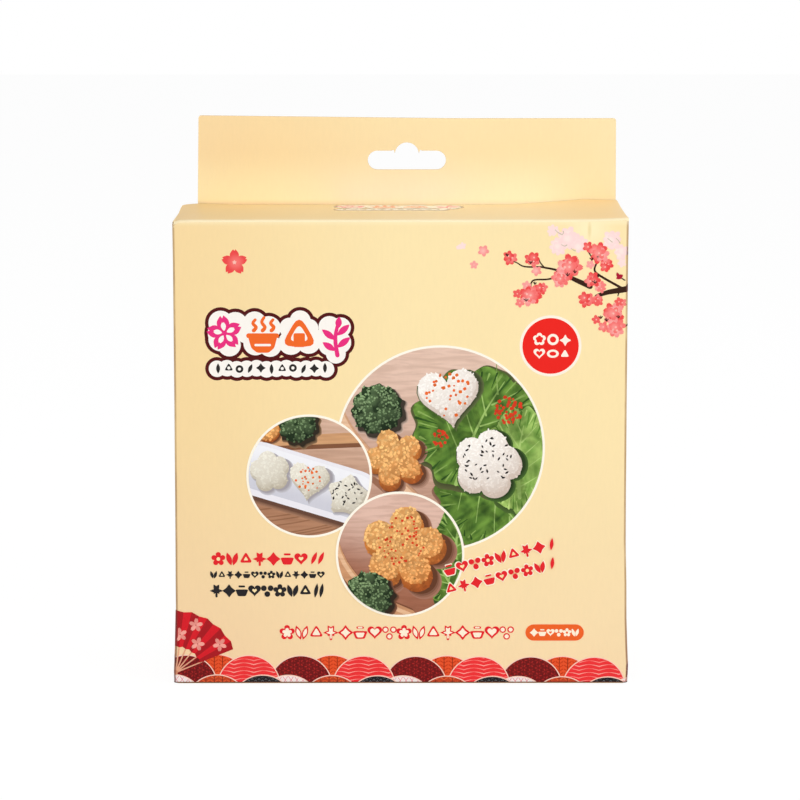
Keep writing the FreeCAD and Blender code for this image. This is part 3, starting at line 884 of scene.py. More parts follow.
# the rear left fold is both the first and the last stretch
wallCuts = sorted(wallCuts) + [wallRun["round"] + min(wallCuts)]


def between(start, end, share):
    return start[0] + (end[0] - start[0]) * share, start[1] + (end[1] - start[1]) * share


def clipped(outline, depth):
    # keeps the part of an outline where depth(point) isn't below 0
    kept = []
    for here, there in zip(outline, outline[1:] + outline[:1]):
        a, b = depth(here), depth(there)
        if a >= 0:
            kept.append(here)
        if (a > 0 > b) or (a < 0 < b):
            kept.append(between(here, there, a / (a - b)))
    return kept


def cutAlong(outline, axis, limit, keepLow):
    # keeps the part of an outline on one side of an upright or level line
    sign = 1 if keepLow else -1
    return clipped(outline, lambda point: sign * (limit - point[axis]))


def area(outline):
    return sum(a[0] * b[1] - b[0] * a[1] for a, b in zip(outline, outline[1:] + outline[:1])) / 2


def span(outline, axis=0):
    return min(point[axis] for point in outline), max(point[axis] for point in outline)


def centreOf(outline):
    return sum(point[0] for point in outline) / len(outline), sum(point[1] for point in outline) / len(outline)


def newSheet(name, surface=onWall):
    return {"name": name, "surface": surface, "points": [], "faces": [], "colors": [], "kinds": [], "count": 0}


def facets(sheet, outline):
    # an outline as the pieces of it that lie on flat stretches of wall
    if sheet["surface"] is not onWall:
        return [outline]
    outline = [straightened(*point) for point in outline]
    low, high = span(outline)
    pieces = []
    for start, end in zip(wallCuts, wallCuts[1:]):
        if end <= low or start >= high:
            continue
        piece = outline
        if start > low:
            piece = cutAlong(piece, 0, start, False)
        if end < high and piece:
            piece = cutAlong(piece, 0, end, True)
        if len(piece) > 2 and abs(area(piece)) > printing["leastArea"]:
            pieces.append(piece)
    return pieces


def tidied(outline):
    # no doubled points, and the turn that faces outward
    kept = []
    for point in outline:
        if not kept or math.dist(point, kept[-1]) > printing["leastEdge"]:
            kept.append(point)
    while len(kept) > 1 and math.dist(kept[0], kept[-1]) <= printing["leastEdge"]:
        kept.pop()
    return kept if area(kept) > 0 else kept[::-1]


def liftOf(sheet, level):
    # a small rise from slip to slip, so that no two share a plane
    sheet["count"] += 1
    return printing["first"] + printing["step"] * level + printing["rise"] * (sheet["count"] % printing["turns"])


def stamp(sheet, outline, color, level=1, kind=0):
    # one flat slip of a single ink
    if len(outline) < 3:
        return
    lift = liftOf(sheet, level)
    for piece in facets(sheet, outline):
        piece = tidied(piece)
        count = len(piece)
        if count < 3:
            continue
        start = len(sheet["points"])
        for height in (lift, -printing["sink"]):
            sheet["points"] += [sheet["surface"](u, v, height) for u, v in piece]
        sheet["colors"] += [color] * (2 * count)
        sheet["faces"].append(tuple(range(start, start + count)))
        sheet["faces"].append(tuple(range(start + 2 * count - 1, start + count - 1, -1)))
        for number in range(count):
            after = (number + 1) % count
            sheet["faces"].append((start + number, start + count + number, start + count + after, start + after))
        sheet["kinds"] += [kind] * (count + 2)


def patch(sheet, outline, middle, shade, level=1, kind=0, rings=(1.0, 0.86, 0.68, 0.45, 0.22)):
    # a slip whose ink changes from its rim to its middle, or a plain one where it crosses a fold
    lift = liftOf(sheet, level)
    piece = tidied([straightened(*point) for point in outline] if sheet["surface"] is onWall else outline)
    if sheet["surface"] is onWall:
        low, high = span(piece)
        if high > wallCuts[-1] or low < wallCuts[0] or any(low < cut < high for cut in wallCuts):
            stamp(sheet, outline, shade(*middle, 0.6), level, kind)
            return
        middle = straightened(*middle)
    count, start = len(piece), len(sheet["points"])
    for share in rings:
        for point in piece:
            u, v = between(middle, point, share)
            sheet["points"].append(sheet["surface"](u, v, lift))
            sheet["colors"].append(shade(u, v, share))
    sheet["points"].append(sheet["surface"](*middle, lift))
    sheet["colors"].append(shade(*middle, 0.0))
    sheet["points"] += [sheet["surface"](u, v, -printing["sink"]) for u, v in piece]
    sheet["colors"] += [shade(u, v, 1.0) for u, v in piece]
    top, under = start + len(rings) * count, start + len(rings) * count + 1
    for number in range(count):
        after = (number + 1) % count
        for row in range(len(rings) - 1):
            here = start + row * count
            sheet["faces"].append((here + number, here + after, here + count + after, here + count + number))
        sheet["faces"].append((top - count + number, top - count + after, top))
        sheet["faces"].append((start + number, under + number, under + after, start + after))
    sheet["faces"].append(tuple(range(under + count - 1, under - 1, -1)))
    sheet["kinds"] += [kind] * (count * (len(rings) + 1) + 1)


def printSheet(sheet, body="carton"):
    piece = newPiece(sheet["name"], sheet["points"], sheet["faces"], body, inkSet, sheet["kinds"])
    layer = piece.data.color_attributes.new("inkColor", "FLOAT_COLOR", "POINT")
    layer.data.foreach_set("color", [value for color in sheet["colors"] for value in color])


# outlines in millimetres, about their own middle

def roundShape(radius, count=40, tall=1.0):
    angles = [2 * math.pi * n / count for n in range(count)]
    return [(radius * math.cos(angle), radius * tall * math.sin(angle)) for angle in angles]


def petalShape(long, wide, notch=0.12, count=7):
    # a blossom's petal, from the middle upwards, with a notched tip
    side = []
    for n in range(count + 1):
        share = n / count
        swell = math.sin(math.pi * min(share ** 0.8, 0.995)) ** 0.75
        side.append((wide * swell * (0.35 + 0.65 * share) / 0.8, long * share))
    side[-1] = (wide * 0.22, long)
    return side + [(0, long * (1 - notch))] + [(-x, y) for x, y in reversed(side)]


def blossomShape(radius, dip=0.35, count=60, petals=5):
    # a solid round of petals, with a dip between each two
    points = []
    for n in range(count):
        angle = 2 * math.pi * n / count
        reach = 1 - dip * (1 - abs(math.cos(petals * angle / 2)) ** 0.7)
        points.append((radius * reach * math.sin(angle), radius * reach * math.cos(angle)))
    return points


def heartShape(radius, count=36):
    points = []
    for n in range(count):
        t = 2 * math.pi * n / count
        x = 16 * math.sin(t) ** 3
        y = 13 * math.cos(t) - 5 * math.cos(2 * t) - 2 * math.cos(3 * t) - math.cos(4 * t)
        points.append((x * radius / 16.5, (y + 2) * radius / 16.5))
    return points


def cornered(radius, corners, softness=0.25, turn=0.0, dip=0.0, steps=4):
    # a rounded many-sided or, with a dip, star-like outline
    anchors = []
    for n in range(corners):
        angle = turn + 2 * math.pi * n / corners
        anchors.append((radius * math.sin(angle), radius * math.cos(angle)))
        if dip:
            angle += math.pi / corners
            anchors.append((radius * (1 - dip) * math.sin(angle), radius * (1 - dip) * math.cos(angle)))
    return softened(anchors, softness, steps)


def softened(anchors, softness=0.25, steps=4):
    # rounds every corner of an outline with a small curve
    points = []
    for n, here in enumerate(anchors):
        before, after = anchors[n - 1], anchors[(n + 1) % len(anchors)]
        start = [h + (b - h) * softness for h, b in zip(here, before)]
        end = [h + (a - h) * softness for h, a in zip(here, after)]
        for step in range(steps + 1):
            t = step / steps
            parts = zip(start, here, end)
            points.append(tuple((1 - t) ** 2 * s + 2 * t * (1 - t) * h + t * t * e for s, h, e in parts))
    return points


def leafShape(long, wide, count=8):
    side = [(wide * math.sin(math.pi * n / count) ** 0.9, long * (2 * n / count - 1)) for n in range(count + 1)]
    return side + [(-x, y) for x, y in side[-2:0:-1]]


def pillShape(long, tall, count=8):
    radius = tall / 2
    return (arc(long / 2 - radius, 0, radius, -90, 90, count) + arc(-long / 2 + radius, 0, radius, 90, 270, count))


def moved(outline, place=(0, 0), scale=1.0, turn=0.0, squeeze=(1, 1)):
    cosine, sine = math.cos(math.radians(turn)) * scale, math.sin(math.radians(turn)) * scale
    return [(place[0] + (x * cosine - y * sine) * squeeze[0], place[1] + (x * sine + y * cosine) * squeeze[1])
            for x, y in outline]


def flowing(path, steps=4):
    # a smooth line through every point of a path
    points = []
    padded = [path[0]] + list(path) + [path[-1]]
    for a, b, c, d in zip(padded, padded[1:], padded[2:], padded[3:]):
        for step in range(steps):
            t = step / steps
            points.append(tuple(
                0.5 * (2 * q + (r - p) * t + (2 * p - 5 * q + 4 * r - s) * t * t + (3 * q - p - 3 * r + s) * t ** 3)
                for p, q, r, s in zip(a, b, c, d)))
    return points + [tuple(path[-1])]


def strokeShape(path, startWide, endWide, ends=3):
    # a line drawn with a brush that goes from one width to another
    left, right = [], []
    last = len(path) - 1
    for n, (x, y) in enumerate(path):
        before, after = path[max(n - 1, 0)], path[min(n + 1, last)]
        length = math.dist(before, after) or 1.0
        sideX, sideY = -(after[1] - before[1]) / length, (after[0] - before[0]) / length
        half = (startWide + (endWide - startWide) * n / last) / 2
        left.append((x + sideX * half, y + sideY * half))
        right.append((x - sideX * half, y - sideY * half))

    def cap(middle, edge):
        startAngle = math.degrees(math.atan2(edge[1] - middle[1], edge[0] - middle[0]))
        return arc(*middle, math.dist(edge, middle), startAngle, startAngle - 180, ends + 1)[1:-1]

    return left + cap(path[-1], left[-1]) + right[::-1] + cap(path[0], right[0])


def within(outline, middle, radius, sides=72):
    # what of an outline lies inside a circle
    reach = radius * math.cos(math.pi / sides)
    if max(math.dist(point, middle) for point in outline) < reach:
        return outline
    for n in range(sides):
        angle = 2 * math.pi * n / sides
        normalX, normalY = math.cos(angle), math.sin(angle)
        outline = clipped(outline, lambda point: reach - (
            (point[0] - middle[0]) * normalX + (point[1] - middle[1]) * normalY))
        if len(outline) < 3:
            return []
    return outline


def wavy(radius, waves, depth, count=72, phase=0.0, squeeze=(1, 1)):
    # an uneven ruffled outline, such as a lettuce leaf's
    points = []
    for n in range(count):
        angle = 2 * math.pi * n / count
        ripple = 0.5 * depth * math.sin((waves * 1.7 // 1) * angle + 2 * phase)
        reach = radius * (1 + depth * math.sin(waves * angle + phase) + ripple)
        points.append((reach * math.cos(angle) * squeeze[0], reach * math.sin(angle) * squeeze[1]))
    return points


# inks

# the ink's gloss, its painted shade on the upright folds and its varnish
inkLook = {"gloss": 0.12, "foldShadeTone": ink(104, 62, 56), "paintedFoldLight": 0.75, "coatDull": 0.16, "coatIor": 1.7}


def newInk(name, change, amount=0.04):
    # each slip's own colour comes with its mesh, and change(tree, color) works on it
    material, tree, shader = newMaterial(name)
    color = newNode(tree, "ShaderNodeAttribute", attribute_name="inkColor").outputs["Color"]
    shader.inputs["Specular IOR Level"].default_value = inkLook["gloss"]
    dressed(tree, shader, paperGrain, change(tree, color), 0.1, Amount=amount)
    return material, shader


def plainInk():
    # printed ink, with painted shade where it lies on an upright fold
    def foldShadedInk(tree, color):
        return paintedFoldLight(tree, color, inkLook["foldShadeTone"], inkLook["paintedFoldLight"])

    return newInk("printedFoldShadedInk", foldShadedInk, 0.05)[0]


def varnishedInk():
    # ink under a clear varnish, for the lid
    material, shader = newInk("varnishedInk", lambda tree, color: color, 0.05)
    shader.inputs["Coat Weight"].default_value = 1.0
    shader.inputs["Coat Roughness"].default_value = inkLook["coatDull"]
    shader.inputs["Coat IOR"].default_value = inkLook["coatIor"]
    return material


def mottledInk(name, cell, dark, light, contrast, grow, stretch=(1, 1, 1), noise=None):
    # a printed picture of something grainy: light cells with darker gaps
    def mottled(tree, color):
        cells = textured(tree, "ShaderNodeTexVoronoi", cell, stretch, feature="F1")
        tinted = mixed(tree, ranged(tree, cells.outputs["Distance"], 0.1, grow), light, dark)
        if noise:
            clouds = textured(tree, "ShaderNodeTexNoise", noise, stretch, 3.0)
            shift = ranged(tree, clouds.outputs[0], 0.35, 0.65, 0.75, 1.2)
            grey = newNode(tree, "ShaderNodeCombineColor", {"Red": shift, "Green": shift, "Blue": shift})
            tinted = mixed(tree, 1.0, tinted, grey.outputs[0], "MULTIPLY")
        return mixed(tree, contrast, color, tinted, "MULTIPLY")

    return newInk(name, mottled)[0]


def veinedInk():
    # printed leaves: soft folds with paler veins
    def veined(tree, color):
        folds = textured(tree, "ShaderNodeTexNoise", 95, detail=4.0)
        folds.inputs["Distortion"].default_value = 1.6
        veins = textured(tree, "ShaderNodeTexVoronoi", 120, feature="DISTANCE_TO_EDGE")
        deep = mixed(tree, ranged(tree, folds.outputs[0], 0.36, 0.62), (0.58, 0.62, 0.5, 1), (1.22, 1.22, 1.15, 1))
        pale = ranged(tree, veins.outputs["Distance"], 0.1, 0.0, 0.0, 0.22)
        return mixed(tree, 1.0, color, mixed(tree, pale, deep, (1.5, 1.5, 1.4, 1)), "MULTIPLY")

    return newInk("printedLeaf", veined)[0]


def woodInk():
    # printed wood: long faint grain
    def grained(tree, color):
        grain = textured(tree, "ShaderNodeTexNoise", 60, (1, 1, 9), 5.0)
        grain.inputs["Distortion"].default_value = 0.8
        light = ranged(tree, grain.outputs[0], 0.35, 0.65)
        return mixed(tree, 1.0, color, mixed(tree, light, (0.88, 0.85, 0.82, 1), (1.04, 1.04, 1.03, 1)), "MULTIPLY")

    return newInk("printedWood", grained)[0]


inkSet = (
    plainInk(),
    mottledInk("printedRice", 900, (0.90, 0.88, 0.86, 1), (1.04, 1.04, 1.04, 1), 0.8, 0.75, (1, 1, 0.7)),
    veinedInk(),
    woodInk(),
    mottledInk("printedCrumb", 800, (0.66, 0.52, 0.40, 1), (1.2, 1.2, 1.2, 1), 0.75, 0.7, noise=260),
    mottledInk("printedBroccoli", 1000, (0.4, 0.45, 0.4, 1), (1.3, 1.3, 1.2, 1), 1.0, 0.62, noise=150),
    varnishedInk(),
)
plain, rice, leaf, wood, crumb, broccoli, varnished = range(len(inkSet))


# the band of overlapping waves round the foot

waves = {
    "radius": 12.4,
    "rim": 0.4,
    "period": 45.0,
    "low": 0.25,
    "start": -147.6,
    "end": 320.6,
    "rimInk": ink(250, 208, 190),
    "bases": {"wedge": -1.05, "upper": -1.35, "lower": -9.25},
    # how tall the dark line of painted shade along the foot is
    "footShadeLine": 0.34,
    # the whole band falls a little to the right
    "lean": -0.006,
    # (place of the first, base, ink and the two inks of its pattern)
    "kinds": {
        "orange": (-26.9, "wedge", ink(228, 81, 38), (ink(196, 58, 18), ink(112, 34, 14))),
        "maroon": (5.9, "upper", ink(108, 16, 18), (ink(166, 34, 32), ink(140, 28, 26))),
        "coral": (-14.4, "upper", ink(236, 51, 54), (ink(248, 138, 130), ink(250, 164, 154))),
        "white": (1.0, "lower", ink(244, 232, 228), (ink(226, 120, 132), ink(214, 90, 104))),
        "black": (-9.1, "lower", ink(29, 25, 26), (ink(112, 116, 122), ink(78, 80, 86))),
        "brown": (18.1, "lower", ink(186, 66, 34), (ink(226, 92, 44), ink(112, 32, 18))),
    },
}


def line(path, wide, endWide=None):
    # a thin line with square ends
    return strokeShape(path, wide, wide if endWide is None else endWide, 1)


def waveMarks(word):
    # the small pattern of each wave, as (ink, outline) about its middle
    marks = []
    if word == "coral":
        for column in range(-3, 3):
            seam = column * 7.8 + 1.9
            for row in range(9):
                y = row * 1.58 + 0.6
                for side in (-1, 1):
                    path = [(seam + side * 3.9 * share, y + 0.75 * math.sin(share * math.pi / 2))
                            for share in (0, 0.3, 0.65, 1.0)]
                    marks.append((row % 2, line(path, 0.42, 0.1)))
    elif word == "maroon":
        for column in range(-5, 6):
            for row in range(6):
                place = (column * 2.9, row * 3.1 + (1.55 if column % 2 else 0))
                for number in range(6):
                    turn = 60 * number + 30
                    petal = moved(leafShape(0.62, 0.3, 3), moved([(0, 0.95)], place, 1, turn)[0], 1, turn)
                    marks.append(((column + row + number) % 2, petal))
    elif word == "white":
        for column in range(-9, 10):
            for lean in (-1, 1):
                path = [(column * 2.3 + lean * 0.75 * step, 8.6 + step * 1.1) for step in range(4)]
                marks.append((0, line(path, 0.2)))
    elif word == "black":
        for column in range(-9, 10):
            for row in range(6, 11):
                x, y = column * 1.35, row * 1.25 + (0.6 if column % 2 else 0)
                marks.append((row % 2, line([(x - 0.4, y - 0.2), (x, y + 0.25), (x + 0.4, y - 0.2)], 0.2)))
    else:
        # upright lines with rows of arrowheads on them
        apart = 3.24
        for column in range(-5, 6):
            x = column * apart - 1.1
            for row in range(12):
                y, reach = row * 1.5 + 0.4, apart * 0.42
                marks.append((0, line([(x - reach, y + 0.7), (x, y - 0.2), (x + reach, y + 0.7)], 0.4)))
            marks.append((1, line([(x, 0.4), (x, 12.4)], 0.26)))
    return marks


def makeWaves():
    sheet = newSheet("printWaves")
    radius, low = waves["radius"], waves["low"]
    discs = [(roundShape(radius, 64), 0), (roundShape(radius - waves["rim"], 64), 1)]
    for order, (word, (place, base, color, markInks)) in enumerate(waves["kinds"].items()):
        level = 1 + 3 * order
        first = math.ceil((waves["start"] - radius - place) / waves["period"])
        last = math.floor((waves["end"] + radius - place) / waves["period"])
        field = radius - waves["rim"] - 0.2
        marks = [(tone, within(outline, (0, 0), field, 36)) for tone, outline in waveMarks(word)]
        for number in range(first, last + 1):
            along = place + number * waves["period"]
            height = waves["bases"][base] + waves["lean"] * min(max(along, -carton["half"]), carton["half"])
            # a large wave whose middle lies past the right fold stays on the side wall
            begin = carton["half"] + 0.7 if along > carton["half"] and base != "lower" else waves["start"]

            def placed(outline):
                outline = moved(outline, (along, height)) if len(outline) > 2 else []
                for axis, limit, keepLow in ((1, low, False), (0, begin, False), (0, waves["end"], True)):
                    outline = cutAlong(outline, axis, limit, keepLow) if outline else []
                return outline

            for outline, step in discs:
                stamp(sheet, placed(outline), color if step else waves["rimInk"], level + step)
            for tone, outline in marks:
                stamp(sheet, placed(outline), markInks[tone], level + 2)
    # a dark line of painted shade along the very foot
    start, end, high = waves["start"], waves["end"], low + waves["footShadeLine"]
    stamp(sheet, [(start, low), (end, low), (end, high), (start, high)], boardInks["foot"], 20)
    printSheet(sheet)


# blossoms and their branch

blossoms = {
    "deep": (ink(234, 70, 70), ink(244, 118, 112)),
    "mid": (ink(243, 112, 108), ink(248, 148, 142)),
    "light": (ink(246, 146, 142), ink(250, 182, 174)),
    "pale": (ink(251, 217, 213), ink(252, 229, 221)),
    "stamen": ink(250, 190, 176),
    "twig": ink(204, 188, 166),
    "bark": ink(50, 24, 10),
    "bud": ink(170, 18, 48),
}


def drawBlossom(sheet, place, radius, tint="mid", level=3, turn=None):
    # five notched petals, darker at their tips, round a small pale eye
    turn = draw.uniform(0, 72) if turn is None else turn
    tip, heart = blossoms[tint]
    for number in range(5):
        petal = moved(petalShape(radius, radius * 0.42), place, 1.0, turn + 72 * number)
        middle = moved([(0, radius * 0.6)], place, 1.0, turn + 72 * number)[0]

        def shade(u, v, share):
            away = math.hypot(u - place[0], v - place[1]) / radius
            return blendInk(heart, tip, smooth(0.1, 0.8, away))

        if radius > 1.9:
            patch(sheet, petal, middle, shade, level + 0.15 * number, plain, (1.0, 0.6))
        else:
            stamp(sheet, petal, blendInk(heart, tip, 0.6), level + 0.15 * number)
    if tint != "pale" and radius > 1.6:
        eye = cornered(radius * 0.2, 5, 0.2, math.radians(turn), 0.5, 1)
        stamp(sheet, moved(eye, place), blossoms["stamen"], level + 2)


def drawCluster(sheet, place, radius, tint="mid", level=3):
    # several blossoms that overlap, as large as one of the given radius
    if radius < 2.6:
        drawBlossom(sheet, place, radius, tint, level)
        return
    count = 4 if radius > 3.6 else 3  # large clusters have one more, and one in the middle
    phase = draw.uniform(0, 360)
    small = radius * (0.67 if count == 4 else 0.72)
    tints = {"mid": ("deep", "mid", "deep", "light"), "deep": ("deep", "mid", "deep", "deep"),
             "light": ("mid", "light", "mid", "light"), "pale": ("pale",) * 4}[tint]
    for number in range(count):
        angle = math.radians(phase + 360 * number / count + draw.uniform(-14, 14))
        reach = radius - small
        spot = (place[0] + reach * math.cos(angle), place[1] + reach * math.sin(angle))
        drawBlossom(sheet, spot, small, tints[number], level + number)
    if count == 4:
        drawBlossom(sheet, place, small * 0.9, "mid" if tint == "mid" else tints[0], level + count)


branch = {
    # (points, width at the start, width at the end)
    "strokes": [
        ([(122.0, 161.0), (112.0, 160.4), (101.0, 159.6), (92.5, 157.4), (86.3, 155.6), (79.4, 154.4),
          (74.9, 152.9)], 4.4, 1.3),
        ([(84.4, 156.0), (76.3, 160.6), (74.0, 162.9), (74.7, 166.0), (73.2, 167.5), (71.6, 169.8)], 0.95, 0.45),
        ([(72.4, 156.6), (66.0, 159.5), (62.0, 161.9)], 2.1, 1.2),
        ([(104.0, 160.0), (99.0, 165.4), (97.0, 171.4)], 1.4, 0.5),
        ([(110.0, 160.4), (106.4, 152.6), (100.4, 147.6)], 1.3, 0.5),
        ([(62.6, 161.6), (59.1, 163.0), (55.7, 163.7), (53.2, 164.1), (48.8, 164.1), (46.4, 164.5), (44.4, 165.7),
          (42.3, 166.4)], 0.9, 0.35),
        ([(58.6, 159.9), (55.7, 159.3), (51.1, 159.1), (49.8, 157.6), (49.8, 155.3), (47.9, 153.7)], 0.7, 0.45),
        ([(75.6, 160.9), (72.6, 158.2), (71.4, 156.8)], 1.1, 1.3),
        ([(83.6, 154.9), (83.0, 152.9)], 0.8, 0.3),
        ([(100.4, 147.6), (95.0, 142.6), (86.6, 141.6), (84.6, 140.8), (83.2, 142.6)], 0.8, 0.4),
        ([(85.6, 159.0), (83.6, 160.2)], 0.5, 0.4),
        ([(54.9, 163.8), (53.4, 165.6), (52.8, 167.0)], 0.55, 0.35),
    ],
    # (along the wall, height, radius, tint)
    "clusters": [
        (41.7, 167.6, 3.1, "mid"), (50.3, 167.0, 3.3, "deep"), (51.9, 162.6, 2.1, "light"), (64.4, 164.1, 5.3, "mid"),
        (61.0, 159.6, 3.8, "light"), (75.6, 169.4, 4.4, "mid"), (71.4, 171.8, 2.2, "deep"), (78.4, 164.8, 3.0, "deep"),
        (72.4, 165.0, 1.8, "light"), (73.3, 159.1, 3.4, "deep"), (76.3, 156.4, 2.6, "light"), (71.0, 151.6, 3.5, "mid"),
        (75.2, 151.2, 2.6, "mid"), (49.7, 153.2, 4.6, "mid"), (53.8, 155.8, 2.7, "deep"), (48.1, 157.0, 1.9, "light"),
        (45.6, 150.3, 1.9, "mid"), (44.6, 153.8, 1.9, "deep"), (81.4, 146.2, 4.6, "mid"), (84.0, 150.2, 2.6, "deep"),
        (82.4, 140.9, 4.2, "light"), (74.9, 143.8, 1.9, "deep"), (77.6, 141.0, 2.2, "mid"), (97.4, 172.0, 4.2, "mid"),
        (101.6, 168.0, 2.6, "deep"), (99.6, 147.0, 4.4, "deep"), (104.4, 150.6, 3.0, "light"),
        (112.6, 164.0, 4.6, "mid"), (116.6, 156.8, 3.6, "mid"), (118.6, 166.0, 2.8, "light"),
    ],
    "pale": [(64.0, 175.0, 4.9), (60.2, 172.0, 3.8), (58.0, 178.0, 2.6), (68.2, 172.9, 3.6), (80.6, 174.4, 4.2),
             (84.0, 169.8, 3.4), (84.4, 165.6, 1.8)],
    "loose": [(23.6, 172.2, 1.5, "pale"), (31.6, 170.3, 2.3, "light"), (28.0, 164.9, 1.7, "light"),
              (22.0, 171.6, 1.0, "pale")],
    "backShift": 234.1,
    "tufts": [(98.4, 168.8), (101.4, 149.8), (113.0, 161.8), (63.6, 160.6), (66.4, 161.8), (72.9, 166.6), (78.8, 143.2),
              (76.6, 144.2), (83.4, 144.4), (48.0, 150.9), (51.2, 157.4), (74.2, 157.8), (49.6, 165.3), (40.6, 168.2)],
    "buds": [(83.6, 160.3, 1.5, 0.9, -60), (82.9, 161.0, 1.1, 0.6, 20)],
    "twigs": [((58.8, 178.4), (59.8, 177.4), (61.4, 176.5)), ((61.2, 172.7), (62.4, 172.1), (63.4, 172.5)),
              ((64.9, 171.3), (65.8, 170.6), (66.6, 170.3)), ((78.8, 175.1), (79.6, 174.4), (80.6, 173.6)),
              ((82.0, 175.1), (82.8, 174.4), (83.6, 173.2)), ((61.6, 176.4), (62.0, 177.2), (61.9, 177.8))],
}


def tuft(sheet, place, level=20):
    # three short dark hairs
    for angle in (-38, 4, 40):
        path = moved([(0, 0), (0.1, 0.6), (0.0, 1.2)], place, draw.uniform(0.7, 1.1), angle + draw.uniform(-10, 10))
        stamp(sheet, line(path, 0.28, 0.34), blossoms["bark"], level)


def makeBranch(name, shift):
    # the whole spray, set off along the wall
    sheet = newSheet(name)

    def at(x, y):
        return shift + x, y

    for x, y, radius in branch["pale"]:
        drawCluster(sheet, at(x, y), radius, "pale", 0)
    for path in branch["twigs"]:
        stamp(sheet, line(flowing([at(*point) for point in path]), 0.22, 0.42), blossoms["twig"], 7)
    for path, startWide, endWide in branch["strokes"]:
        path = flowing([at(*point) for point in path])
        stamp(sheet, strokeShape(path, startWide, endWide), blossoms["bark"], 8)
    for number, (x, y, radius, tint) in enumerate(branch["clusters"]):
        drawCluster(sheet, at(x, y), radius, tint, 9 + (number % 3) * 0.9)
    for number, (x, y, long, wide, turn) in enumerate(branch["buds"]):
        stamp(sheet, moved(leafShape(long, wide), at(x, y), turn=turn), blossoms["bud"], 16 + 0.5 * number)
    for x, y in branch["tufts"]:
        tuft(sheet, at(x, y))
    for x, y, radius, tint in branch["loose"]:
        drawBlossom(sheet, at(x, y), radius, tint, 2)
    printSheet(sheet)


# the folded fan at the left fold

fan = {
    "place": (-88.15, 4.4),
    "outer": 25.1,
    "inner": 10.2,
    "folds": 9,
    "from": 22.5,
    "to": 157,
    "bright": ink(214, 26, 38),
    "dark": ink(168, 22, 30),
    "rib": ink(226, 164, 132),
    "flower": ink(244, 166, 152),
    "flowerDeep": ink(228, 144, 132),
    "hub": ink(206, 138, 106),
    # (angle, distance from the hub)
    "flowers": [(67, 20.7), (53, 14.4), (33, 20.7), (83, 15.4), (111, 20.6), (122, 13.7), (146, 20.3)],
}


def fanPoint(angle, reach):
    angle = math.radians(angle)
    return fan["place"][0] + reach * math.cos(angle), fan["place"][1] + reach * math.sin(angle)


def makeFan():
    sheet = newSheet("printFan")
    step = (fan["to"] - fan["from"]) / fan["folds"] / 2
    for number in range(fan["folds"] + 1):
        angle = fan["from"] + 2 * step * number
        rib = [fanPoint(angle, 0.4), fanPoint(angle, fan["inner"] + 1)]
        stamp(sheet, line(rib, 0.6, 0.4), fan["rib"], 24)
    for number in range(2 * fan["folds"]):
        start = fan["from"] + step * number
        outward = [fan["outer"] - (0.0 if (number + side) % 2 else 0.7) for side in (0, 1)]
        inward = [fan["inner"] + (0.5 if (number + side) % 2 else 0.0) for side in (0, 1)]
        outline = [fanPoint(start, inward[0]), fanPoint(start, outward[0]),
                   fanPoint(start + step, outward[1]), fanPoint(start + step, inward[1])]
        stamp(sheet, outline, fan["bright"] if number % 2 else fan["dark"], 25)
    for angle, reach in fan["flowers"]:
        place = fanPoint(angle, reach)
        for number in range(5):
            petal = moved(petalShape(2.85, 0.95, 0.16), place, 1.0, 72 * number + angle)
            stamp(sheet, petal, fan["flower"] if number % 2 else fan["flowerDeep"], 27)
        stamp(sheet, moved(roundShape(0.22, 8), place), fan["dark"], 29)
    stamp(sheet, moved(roundShape(0.9, 14), fan["place"]), fan["hub"], 29)
    printSheet(sheet)


# label, badge and rows of small motifs

label = {
    "middle": (-46.4, 134.4),
    "level": 2,
    "edge": ink(78, 6, 8),
    "paper": ink(249, 244, 236),
    "pink": ink(232, 45, 125),
    "orange": ink(240, 104, 36),
    "grain": ink(40, 36, 34),
    "rim": 1.35,
    "blossom": (-67.4, 138.6),
    "bowl": (-52.8, 137.2),
    "riceBall": (-38.8, 137.6),
    "sprig": (-24.6, 136.6),
    # white clouds under the four large motifs, then under the row below
    "clouds": [(-68.8, 142.6, 4.7), (-63.2, 142.2, 4.6), (-69.0, 136.2, 4.6), (-65.6, 134.0, 4.4), (-67.4, 138.6, 6.4),
               (-55.8, 142.6, 4.4), (-55.6, 134.6, 4.6), (-50.4, 140.6, 4.6), (-50.0, 133.8, 4.4), (-59.6, 137.8, 3.0),
               (-42.4, 140.6, 4.0), (-38.4, 143.4, 4.0), (-42.0, 135.0, 4.8), (-35.2, 135.2, 4.6), (-35.2, 140.4, 3.8),
               (-27.2, 141.0, 4.2), (-22.9, 140.8, 3.9), (-23.2, 135.0, 4.3), (-27.2, 134.2, 4.3), (-24.8, 130.6, 3.8),
               (-30.6, 137.4, 2.6)],
    "row": [(-70.4 + 3.8 * n, 124.8 + 0.25 * math.sin(2.1 * n), 3.2) for n in range(12)],
}


